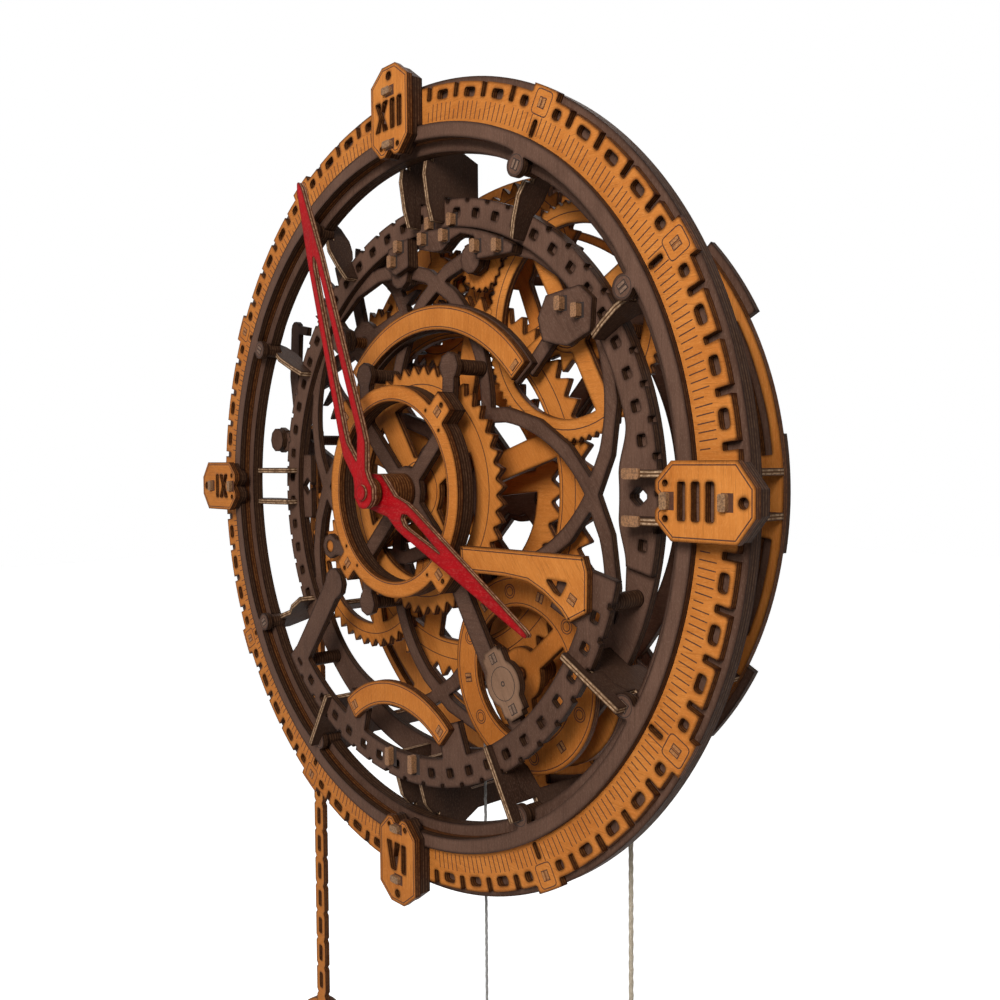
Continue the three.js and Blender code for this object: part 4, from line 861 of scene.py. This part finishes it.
# %% Rear frame and hands
FRAME_REACH = 0.1555
FRAME_EDGE = 0.0005
FRAME_DRAWN = 0.153
EAR_SHARE = 0.79
HUB_REACH = 0.009
SLIM_HANDS = {"hour_hand": (0.78, 0.28), "minute_hand": (0.88, 0.1)}


def trimmed(loop):
    made = []
    for point in loop:
        past = point.length - FRAME_REACH
        drawn = point.normalized() * (FRAME_DRAWN + EAR_SHARE * max(0, past))
        made.append(point if past < -FRAME_EDGE else drawn)
    return made


def slimmed(loop, tip, width, taper):
    along = tip.normalized()
    across = Vector((-along.y, along.x))
    made = []
    for point in loop:
        far = point.dot(along)
        share = min(1.0, max(0.0, (far - HUB_REACH) / HUB_REACH))
        narrow = 1 - share * (1 - width + taper * far / tip.length)
        made.append(along * far + across * (point.dot(across) * narrow))
    return made


print("slimmer hands", sorted(SLIM_HANDS))

# %% [markdown]
# Now the cutting. Every new piece stands for its CAD node, rides on the same body and takes the same
# numbers, so its grain does not change. Toothed wheels get a larger corner than plain plates, and the lugs
# at the top of the movement are two sheets thick.

# %% Cut the plates again
HEART = Vector((0.0, 0.0))
LUG_DEPTH = 12
LUG_REACH = 0.1236
ROUND_SIDES = 48
STRAIGHT_NODES = ("bridge_plate", "drum_cap", "plaque_right", "plaque_lower", "movement_plate")
RING_NODES = ("dial_ring", "movement_rim", "lower_arc", "back_ring")
RING_NODES += ("plaque_upper", "centre_trim", "bridge_ring")
axis_of = {joint["child"]: Vector((joint["pos_m"][0], joint["pos_m"][2])) for joint in frame["joints"]}
axis_of["frame"] = HEART


def centres_for(name):
    if name in STRAIGHT_NODES or name.startswith("numeral_"):
        return []
    return [HEART] if name in RING_NODES else [axis_of[body_of[name]]]


def eased(name, loops):
    if name == "rear_frame":
        return [trimmed(loop) for loop in loops]
    if name in SLIM_HANDS:
        tip = max(loops[0], key=lambda point: point.length)
        return [slimmed(loop, tip, *SLIM_HANDS[name]) for loop in loops]
    return loops


def cut_plate(mesh, name, depth, thick, way=-1):
    corner = TOOTH_CORNER if name.endswith(("_wheel", "_arbor", "_core")) else CORNER
    hole_corner = DIAL_HOLE_CORNER if name == "dial_ring" else HOLE_CORNER
    loops = [loop if way < 0 else loop[::-1] for loop in face_loops(name, depth, way)]
    front = depth if way < 0 else depth - thick
    for group in outlines_first(loops):
        lug = name == "movement_plate" and depth == LUG_DEPTH
        lug = lug and max(point.length for point in group[0]) < LUG_REACH
        group = eased(name, group)
        shaped = [smoothed(loop, centres_for(name), corner, hole_corner) for loop in group]
        if (name, depth) in SEATS and inside(LOZENGE[0], group[0]):
            shaped = [seated(loop, *SEATS[name, depth]) for loop in shaped if not spare_hole(loop)]
            shaped.append(LOZENGE)
        prism(mesh, shaped, level(front), (2 * thick if lug else thick) / MM)


def stand_for(name, made):
    node = nodes[name]
    for key in ("sheet_x", "sheet_y", "sheet_z", "sheet_front", "grain_turn", "stain_shift"):
        made[key] = node[key]
    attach(made, body_of[name])
    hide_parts(name)


for name in sorted(PLATES):
    mesh = bmesh.new()
    for depth, thick in PLATES[name]:
        cut_plate(mesh, name, depth, thick)
    if name == "movement_plate":
        cut_plate(mesh, name, MOVEMENT_BACK, MOVEMENT_BACK - MOVEMENT_FRONT, way=1)
    axis = axis_of[body_of[name]]
    for radius, start, end, *bores in ROUNDS.get(name, ()):
        rounds = [ring(axis.x, axis.y, radius / MM, ROUND_SIDES)]
        for bore in bores:
            rounds.append(ring(axis.x, axis.y, bore / MM, ROUND_SIDES)[::-1])
        prism(mesh, rounds, level(start), (end - start) / MM)
    for x, z, start, radius in POSTS.get(name, ()):
        prism(mesh, [ring(x / MM, z / MM, radius / MM)], level(start), (MOVEMENT_FRONT - start) / MM)
    stand_for(name, finished_mesh(name + "_cut", mesh, finish_of(name)))
print("cut again", len(PLATES), "nodes")

# %% [markdown]
# Three of the lower struts reach in front of the arc, as blades that stand on its face and on the bosses.
# Each is a flat profile of radius and depth, turned to its hour and given the thickness of the sheet. It is
# a hair thicker than the strut behind it, so that the two faces do not flicker where they lie together.

# %% Strut blades
BLADE_FRONT = ((124, -8), (157, -8), (157, -3), (150.2, -3))
BLADE_FOOT = ((150.2, 5.5), (145, 2), (137.3, 2), (137.3, -5), (124, -5))
BLADE = BLADE_FRONT + BLADE_FOOT
BLADE_THICK = 0.00306
BLADE_HOURS = (4, 5, 7)
for hour in BLADE_HOURS:
    clock = math.radians(30 * hour)
    out = Vector((math.sin(clock), 0.0, math.cos(clock)))
    across = Vector((math.cos(clock), 0.0, -math.sin(clock)))
    mesh = bmesh.new()
    sides = []
    for way in (-0.5, 0.5):
        shift = across * (way * BLADE_THICK)
        side = []
        for radius, depth in BLADE:
            side.append(mesh.verts.new(out * (radius / MM) + Vector((0.0, level(depth), 0.0)) + shift))
        sides.append(side)
        mesh.faces.new(side)
    bridge(mesh, *sides)
    blade = finished_mesh(f"strut_{hour}_blade", mesh, STRUT_PAINTED_SHADE_AND_LIGHT)
    own_numbers(blade, tuple(across), -BLADE_THICK / 2, -clock)
    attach(blade, "frame")
print("strut blades at", BLADE_HOURS)

# %% [markdown]
# The laser also draws: minute ticks on the dial, a frame round each tenon, border lines on the plates and
# circles on the wheels. A bump map would lose such fine lines at this distance. Each line is a hair of
# burnt wood, a strip under half a millimetre wide that is let into the face.

# %% Burnt lines
LINE = 0.00045
PROUD = 0.00005
SUNK = 0.0001
SHARPEST_INSET = 0.35
FEWEST_STEPS = 24
STEPS_PER_METRE = 1600


def burnt(name, deep, pale):
    finish, tree, shader = new_finish(name, roughness=0.8)
    colour = blend_colours(tree, noise(tree, own_place(tree), scale=900.0), deep, pale)
    tree.links.new(colour, shader.inputs["Base Color"])
    return finish


BURN = burnt("burnt_line", (0.03, 0.008, 0.002, 1), (0.12, 0.034, 0.009, 1))
DARK_BURN = burnt("burnt_brown", (0.006, 0.0025, 0.001, 1), (0.03, 0.012, 0.006, 1))


def polar(radius, clock):
    return Vector((math.sin(math.radians(clock)), math.cos(math.radians(clock)))) * radius


def right_way(loop):
    return loop if signed_area(loop) > 0 else loop[::-1]


def rectangle(middle, out, long, wide):
    side = Vector((-out.y, out.x))
    ways = ((-1, -1), (1, -1), (1, 1), (-1, 1))
    return right_way([middle + out * (a * long / 2) + side * (b * wide / 2) for a, b in ways])


def strip(mesh, loops, front):
    prism(mesh, loops, front - PROUD, PROUD + SUNK)


def band(mesh, outer, inner, front):
    """A closed ribbon between two loops that have the same number of points."""
    edges = ((outer, front - PROUD), (inner, front - PROUD), (inner, front + SUNK), (outer, front + SUNK))
    rings = [points_at(mesh, loop, y) for loop, y in edges]
    for near, far in zip(rings, rings[1:] + rings[:1]):
        bridge(mesh, near, far)


def inset(loop, distance):
    made = []
    for i, here in enumerate(loop):
        before, after = loop[i - 1], loop[(i + 1) % len(loop)]
        first, second = (here - before).normalized(), (after - here).normalized()
        normal = Vector((-first.y - second.y, first.x + second.x))
        share = max(SHARPEST_INSET, normal.length_squared / 2)
        made.append(here + normal * (distance / share))
    return made


def outline_strip(mesh, loop, distance, front):
    loop = right_way(loop)
    band(mesh, inset(loop, distance), inset(loop, distance + LINE), front)


def circle_strip(mesh, middle, radius, front, line=LINE):
    steps = max(FEWEST_STEPS, int(radius * STEPS_PER_METRE))
    outer = ring(middle.x, middle.y, radius + line / 2, steps)
    band(mesh, outer, ring(middle.x, middle.y, radius - line / 2, steps), front)


def finish_marks(name, mesh, body, slot):
    made = finished_mesh(name, mesh, DARK_BURN if slot == "brown_ply" else BURN)
    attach(made, body)


print("burnt lines are", LINE * MM, "mm wide")

# %% [markdown]
# The dial has a tick at every degree, shorter at every sixth, and a soft square round the tenons of each
# hour. They are placed by angle in a loop, as a dial is drawn, and the ticks stop beside the numeral plates
# and the squares. An array modifier could repeat one tick, but could not leave some out.

# %% Lines on the dial
HOURS = (30, 60, 120, 150, 210, 240, 300, 330)
DIAL_FACE = level(0)
TICK_START = 0.1681
TICK_END = 0.1755
SHORT_TICK_END = 0.1724
QUARTER_GAP = 5.2
QUARTER_REACH = 10
HOUR_GAP = 1
HOUR_TENONS = 0.1808
SQUARE = 0.0102
SQUARE_CORNER = 0.0022
marks = bmesh.new()
for degree in range(360):
    from_quarter = abs((degree + 45) % 90 - 45)
    from_hour = abs((degree + 15) % 30 - 15)
    if from_quarter < QUARTER_GAP or (from_hour < HOUR_GAP and from_quarter > QUARTER_REACH):
        continue
    out = polar(1.0, degree)
    end = SHORT_TICK_END if degree % 6 == 0 else TICK_END
    strip(marks, [rectangle(out * (TICK_START + end) / 2, out, end - TICK_START, LINE)], DIAL_FACE)
for hour in HOURS:
    out = polar(1.0, hour)
    square = rounded(rectangle(out * HOUR_TENONS, out, SQUARE, SQUARE), [], SQUARE_CORNER)
    band(marks, square, inset(square, LINE), DIAL_FACE)
finish_marks("dial_marks", marks, "frame", "orange_ply")
print("dial marked at", len(HOURS), "hours")

# %% [markdown]
# The numeral plates and the plaques have a border that follows the outline at a small distance. Drawing
# each border by hand would work, but offsetting the loop gives it for any shape. The centre ring has one
# circle.

# %% Lines on the plates
NUMERAL_FACE = level(-9)
NUMERAL_BORDER = 0.0013
PLAQUE_BORDER = 0.0012
CENTRE_FACE = level(-11)
CENTRE_LINE = 0.0431
marks = bmesh.new()
for quarter in QUARTERS:
    outer = max(face_loops(f"numeral_plate_{quarter}", -9), key=loop_size)
    outline_strip(marks, outer, NUMERAL_BORDER, NUMERAL_FACE)
finish_marks("numeral_marks", marks, "frame", "orange_ply")
marks = bmesh.new()
for name, depth in (("plaque_upper", 12), ("plaque_right", -8), ("plaque_lower", -8)):
    for loop in face_loops(name, depth):
        if signed_area(loop) > 0:
            outline_strip(marks, smoothed(loop, centres_for(name)), PLAQUE_BORDER, level(depth))
circle_strip(marks, HEART, CENTRE_LINE, CENTRE_FACE)
finish_marks("plaque_marks", marks, "frame", "orange_ply")
print("borders on", len(QUARTERS), "numeral plates and three plaques")

# %% [markdown]
# The wheels carry circles, listed for each body as radius and depth in millimetres. The disc of the drum
# has six roundels as well. They could be one mesh, but then they would stay behind: each set rides on its
# own wheel, so that it turns with it.

# %% Lines on the wheels
WHEEL_LINES = {
    "hour": [(50.5, 6), (14.0, 6)],
    "minute": [(83.5, 26), (76.0, 26)],
    "motion": [(48.5, 22)],
    "third": [(45.6, 22), (11.0, 22)],
    "fourth": [(33.0, 45)],
    "fifth": [(37.5, 40)],
    "escape": [(38.5, 31)],
    "drum": [(42.2, 14), (31.2, 14)],
}
DISC_FACE = level(14)
DISC_MIDDLE = 0.0365
ROUNDEL_TURN = 48.5
ROUNDELS = [axis_of["drum"] + polar(DISC_MIDDLE, 60 * k + ROUNDEL_TURN) for k in range(6)]
ROUNDEL_RADII = (0.0031, 0.002)
for body, lines in WHEEL_LINES.items():
    marks = bmesh.new()
    for radius, depth in lines:
        circle_strip(marks, axis_of[body], radius / MM, level(depth))
    if body == "drum":
        for middle in ROUNDELS:
            for radius in ROUNDEL_RADII:
                circle_strip(marks, middle, radius, DISC_FACE)
    finish_marks(body + "_marks", marks, body, "orange_ply")
print("circles on", len(WHEEL_LINES), "wheels")

# %% [markdown]
# The sheets are locked together with tenons, whose sawn ends come through the faces as small blocks with a
# dark joint round them. They are real blocks with rounded corners, a little proud of the face. End grain
# takes stain unevenly, so it has a finish of its own, in a tone for each kind of place.

# %% End grain and blocks
JOINT = 0.0008
BLOCK_CORNER = 0.3
PAIR_OFFSET = 0.0011
PAIR_SIZE = (0.0036, 0.0012)
PAIR_PROUD = 0.0002


def end_grain(name, pale, deep):
    finish, tree, shader = new_finish(name, roughness=0.6)
    grain = noise(tree, own_place(tree), scale=1500.0, detail=3.0)
    show_grain(tree, shader, grain, deep, pale, span=(0.35, 0.65), strength=0.3)
    return finish


PALE_END = end_grain("pale_end_grain", (0.34, 0.18, 0.078, 1), (0.12, 0.054, 0.021, 1))
ORANGE_END = end_grain("orange_end_grain", (0.46, 0.19, 0.05, 1), (0.24, 0.085, 0.02, 1))
TAN_END = end_grain("tan_end_grain", (0.36, 0.17, 0.07, 1), (0.14, 0.062, 0.025, 1))
BROWN_END = end_grain("brown_end_grain", (0.24, 0.135, 0.08, 1), (0.1, 0.05, 0.028, 1))


def block(mesh, middle, out, size, front, proud):
    outline = rounded(rectangle(middle, out, *size), [], min(size) * BLOCK_CORNER)
    prism(mesh, [outline], front - proud, proud + SUNK)


def tenon(blocks, joints, middle, out, size, front, proud):
    long, wide = size
    strip(joints, [rectangle(middle, out, long + JOINT, wide + JOINT)], front)
    block(blocks, middle, out, size, front, proud)


def split_tenon(blocks, joints, middle, out, front):
    """Two thin tenons side by side in one slot."""
    side = Vector((-out.y, out.x))
    for way in (-1, 1):
        tenon(blocks, joints, middle + side * way * PAIR_OFFSET, out, PAIR_SIZE, front, PAIR_PROUD)


def finish_tenons(name, blocks, joints, body, slot, finish):
    made = finished_mesh(name, blocks, finish)
    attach(made, body)
    finish_marks(name + "_joints", joints, body, slot)
    print(name, "in", finish.name)


print("end grain", [finish.name for finish in (PALE_END, ORANGE_END, TAN_END, BROWN_END)])

# %% [markdown]
# On the orange sheets the tenons come in pairs: at the hours, round the centre ring, at the ends of the
# plaques and on the disc of the drum. They lie nearly flush, so a thin block is enough. Those of the disc
# turn with it.

# %% Tenons in the orange sheets
UPPER_TENONS = 0.0822
UPPER_TENON_SIZE = (0.0046, 0.0022)
UPPER_TENON_PROUD = 0.0004
LOWER_CENTRE = Vector((-0.002, -0.152))
LOWER_TENONS = 0.0562
RIGHT_TENON = Vector((0.1133, -0.0394))
RIGHT_CLOCK = 120
CENTRE_TENONS = 0.0505
DISC_TENON_TURN = 18.5
PLAQUE_FACE = level(-8)
blocks, joints = bmesh.new(), bmesh.new()
for hour in HOURS:
    split_tenon(blocks, joints, polar(HOUR_TENONS, hour), polar(1.0, hour), DIAL_FACE)
for clock in (45, 135, 225, 315):
    split_tenon(blocks, joints, polar(CENTRE_TENONS, clock), polar(1.0, clock), CENTRE_FACE)
for clock in (-43.5, 47.5):
    place = polar(UPPER_TENONS, clock), polar(1.0, clock)
    tenon(blocks, joints, *place, UPPER_TENON_SIZE, level(12), UPPER_TENON_PROUD)
for clock in (-36.5, 36.5):
    split_tenon(blocks, joints, LOWER_CENTRE + polar(LOWER_TENONS, clock), polar(1.0, clock), PLAQUE_FACE)
split_tenon(blocks, joints, RIGHT_TENON, polar(1.0, RIGHT_CLOCK), PLAQUE_FACE)
finish_tenons("dial_tenons", blocks, joints, "frame", "orange_ply", ORANGE_END)
blocks, joints = bmesh.new(), bmesh.new()
for k in range(6):
    out = polar(1.0, 60 * k + DISC_TENON_TURN)
    split_tenon(blocks, joints, axis_of["drum"] + out * DISC_MIDDLE, out, DISC_FACE)
finish_tenons("disc_tenons", blocks, joints, "drum", "orange_ply", ORANGE_END)

# %% [markdown]
# Each numeral plate is held by two pegs, and the lugs of the movement by pegs that stand well out. A peg
# does not fill its slot, and the open part beside it shows its burnt walls and the shade inside. Both are painted
# as one dark strip, which is wider than the peg and lies a little to one side.

# %% Pegs
UP = Vector((0.0, 1.0))
NUMERAL_PEGS = (0.1596, 0.1838)
LUG_PEGS = ((120.8, -9.8, 12), (115.5, -13, 12), (119.5, -0.7, 12), (119.6, 7, 12), (116.3, 18.4, 12))
LUG_PEGS += ((119.8, 25.3, 12), (126.9, 0.2, 15), (127.2, 7.6, 15), (118.9, 48.7, 12), (123.7, 52.9, 12))
SEAT_TENONS = 0.1312
LOWER_PEGS = -0.1273
PEG_APART = 0.009
PEG_SHIFT = Vector((-0.0004, 0.0))
NUMERAL_PEG = {"size": (0.0032, 0.006), "proud": 0.0019, "slot": (0.0048, 0.0064), "slot_shift": 0.0011}
LUG_PEG = {"size": (0.0058, 0.0033), "proud": 0.0032, "slot": (0.0064, 0.0048), "slot_shift": 0.0006}
LOWER_PEG = {"size": (0.0085, 0.0031), "proud": 0.003, "slot": (0.0092, 0.0026), "slot_shift": 0.0026}
SEAT_TENON = {"size": (0.0042, 0.0085), "proud": 0.001}


def peg(blocks, joints, middle, out, front, size, proud, slot, slot_shift):
    block(blocks, middle, out, size, front, proud)
    # the dark strip paints the burnt walls of the open slot and the shade inside it
    strip(joints, [rectangle(middle + Vector((slot_shift, 0)), out, *slot)], front)


blocks, joints = bmesh.new(), bmesh.new()
for clock in (0, 90, 180, 270):
    out = polar(1.0, clock)
    for place in NUMERAL_PEGS:
        peg(blocks, joints, out * place + PEG_SHIFT, out, NUMERAL_FACE, **NUMERAL_PEG)
finish_tenons("numeral_pegs", blocks, joints, "frame", "orange_ply", PALE_END)
blocks, joints = bmesh.new(), bmesh.new()
for radius, clock, depth in LUG_PEGS:
    peg(blocks, joints, polar(radius / MM, clock), UP, level(depth), **LUG_PEG)
for way in (-PEG_APART, PEG_APART):
    block(blocks, Vector((SEAT_TENONS, way)), UP, front=level(6), **SEAT_TENON)
    peg(blocks, joints, Vector((way, LOWER_PEGS)), UP, level(-5), **LOWER_PEG)
finish_tenons("lug_pegs", blocks, joints, "frame", "brown_ply", TAN_END)

# %% [markdown]
# The round bosses on the brown ring end the struts, so each has a pair of tenons inside a burnt circle. The
# cap over the drum has two pairs along its length and a circle round its pin. New shapes would add nothing
# here, so the same helpers serve, in a darker tone of end grain.

# %% Bosses and the drum's cap
BOSS_PLACE = 0.1554
BOSS_CIRCLE = 0.0041
BOSS_FACE = level(-3)
THIN_LINE = 0.0003
CAP_FACE = level(-5)
CAP_SHIFT = Vector((0.0085, 0.0))
CAP_CLOCK = 148
CAP_TENONS = 0.0115
CAP_CIRCLES = ((0.0072, THIN_LINE), (0.0009, 2 * THIN_LINE))
blocks, joints = bmesh.new(), bmesh.new()
for hour in HOURS:
    split_tenon(blocks, joints, polar(BOSS_PLACE, hour), polar(1.0, hour), BOSS_FACE)
    circle_strip(joints, polar(BOSS_PLACE, hour), BOSS_CIRCLE, BOSS_FACE, THIN_LINE)
cap = axis_of["drum"] + CAP_SHIFT
along = polar(1.0, CAP_CLOCK)
for radius, line in CAP_CIRCLES:
    circle_strip(joints, cap, radius, CAP_FACE, line)
for way in (-1, 1):
    split_tenon(blocks, joints, cap + along * way * CAP_TENONS, along, CAP_FACE)
finish_tenons("boss_tenons", blocks, joints, "frame", "brown_ply", BROWN_END)

# %% [markdown]
# The eyes under the cords are bent from steel wire. Metal needs little colour and a lot of reflection, so
# the shader is fully metallic and only its roughness varies, in fine streaks as drawn wire has.

# %% Steel
DRAWN = (900.0, 900.0, 3000.0)
STEEL, steel_tree, steel_shader = new_finish("drawn_steel", roughness=0.32)
steel_shader.inputs["Metallic"].default_value = 1.0
drawn = streaks(steel_tree, own_place(steel_tree), DRAWN, detail=2.0)
grey = blend_colours(steel_tree, drawn, (0.45, 0.44, 0.42, 1), (0.66, 0.65, 0.63, 1))
steel_tree.links.new(grey, steel_shader.inputs["Base Color"])
steel_tree.links.new(spread(steel_tree, drawn, 0.3, 0.7, 0.24, 0.42), steel_shader.inputs["Roughness"])
for name in STEEL_NODES:
    nodes[name].data.materials.clear()
    nodes[name].data.materials.append(STEEL)
print("steel on", STEEL_NODES)

# %% [markdown]
# The stage is a plain pale floor far below and a white surround. A brighter world would give a white
# picture too, but would wash out the stain. So the light path node gives the white to the camera and to
# what shines or lets light through, and the world lights the clock only faintly.

# %% Floor and surround
FLOOR_Z = -0.62
FLOOR_HALF = 6
FLOOR_GLOW = 0.85
AMBIENT = 0.12


def white_to_the_eye(tree):
    path = add_node(tree, "ShaderNodeLightPath")
    seen = figure(tree, "MAXIMUM", path.outputs["Is Camera Ray"], path.outputs["Is Glossy Ray"])
    return figure(tree, "MAXIMUM", seen, path.outputs["Is Transmission Ray"])


floor_mesh = bpy.data.meshes.new("floor")
corners = [(x * FLOOR_HALF, y * FLOOR_HALF, FLOOR_Z) for x, y in ((-1, -1), (1, -1), (1, 1), (-1, 1))]
floor_mesh.from_pydata(corners, [], [(0, 1, 2, 3)])
floor = bpy.data.objects.new("floor", floor_mesh)
scene.collection.objects.link(floor)
floor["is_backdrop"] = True
pale, pale_tree, pale_shader = new_finish("pale_floor", roughness=0.9)
pale_shader.inputs["Base Color"].default_value = (0.9, 0.9, 0.89, 1)
pale_shader.inputs["Emission Color"].default_value = (1, 1, 1, 1)
glow = figure(pale_tree, "MULTIPLY", white_to_the_eye(pale_tree), FLOOR_GLOW)
pale_tree.links.new(glow, pale_shader.inputs["Emission Strength"])
floor_mesh.materials.append(pale)

world = bpy.data.worlds.new("surround")
scene.world = world
world.use_nodes = True
sky = world.node_tree.nodes["Background"]
sky.inputs["Color"].default_value = (1, 1, 1, 1)
strength = spread(world.node_tree, white_to_the_eye(world.node_tree), 0.0, 1.0, AMBIENT, 1.0)
world.node_tree.links.new(strength, sky.inputs["Strength"])
print("floor at", FLOOR_Z)

# %% [markdown]
# Three soft lamps aim at the middle of the dial. The key stands at the right and above, as the shadows in
# the photograph say, the fill softens them, and a lamp behind keeps the rear readable. A sun would give
# hard shadows, and an area lamp's size sets how soft they are.


# %% Lamps
def soft_lamp(name, place, size, power):
    lamp = bpy.data.objects.new(name, bpy.data.lights.new(name, "AREA"))
    lamp.data.size = size
    lamp.data.energy = power
    lamp.location = place
    lamp.rotation_mode = "QUATERNION"
    lamp.rotation_quaternion = (-Vector(place)).to_track_quat("-Z", "Y")
    scene.collection.objects.link(lamp)


soft_lamp("key", (0.55, -0.9, 0.5), size=0.45, power=11.0)
soft_lamp("fill", (-0.7, -1.3, 0.6), size=1.2, power=1.6)
soft_lamp("back", (-0.9, 0.9, 0.9), size=1.0, power=6.0)
scene.view_settings.view_transform = "Standard"
print("lamps", [lamp.name for lamp in bpy.data.lights])

# %% Finish
low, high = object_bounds()
print("box", tuple(low), tuple(high))
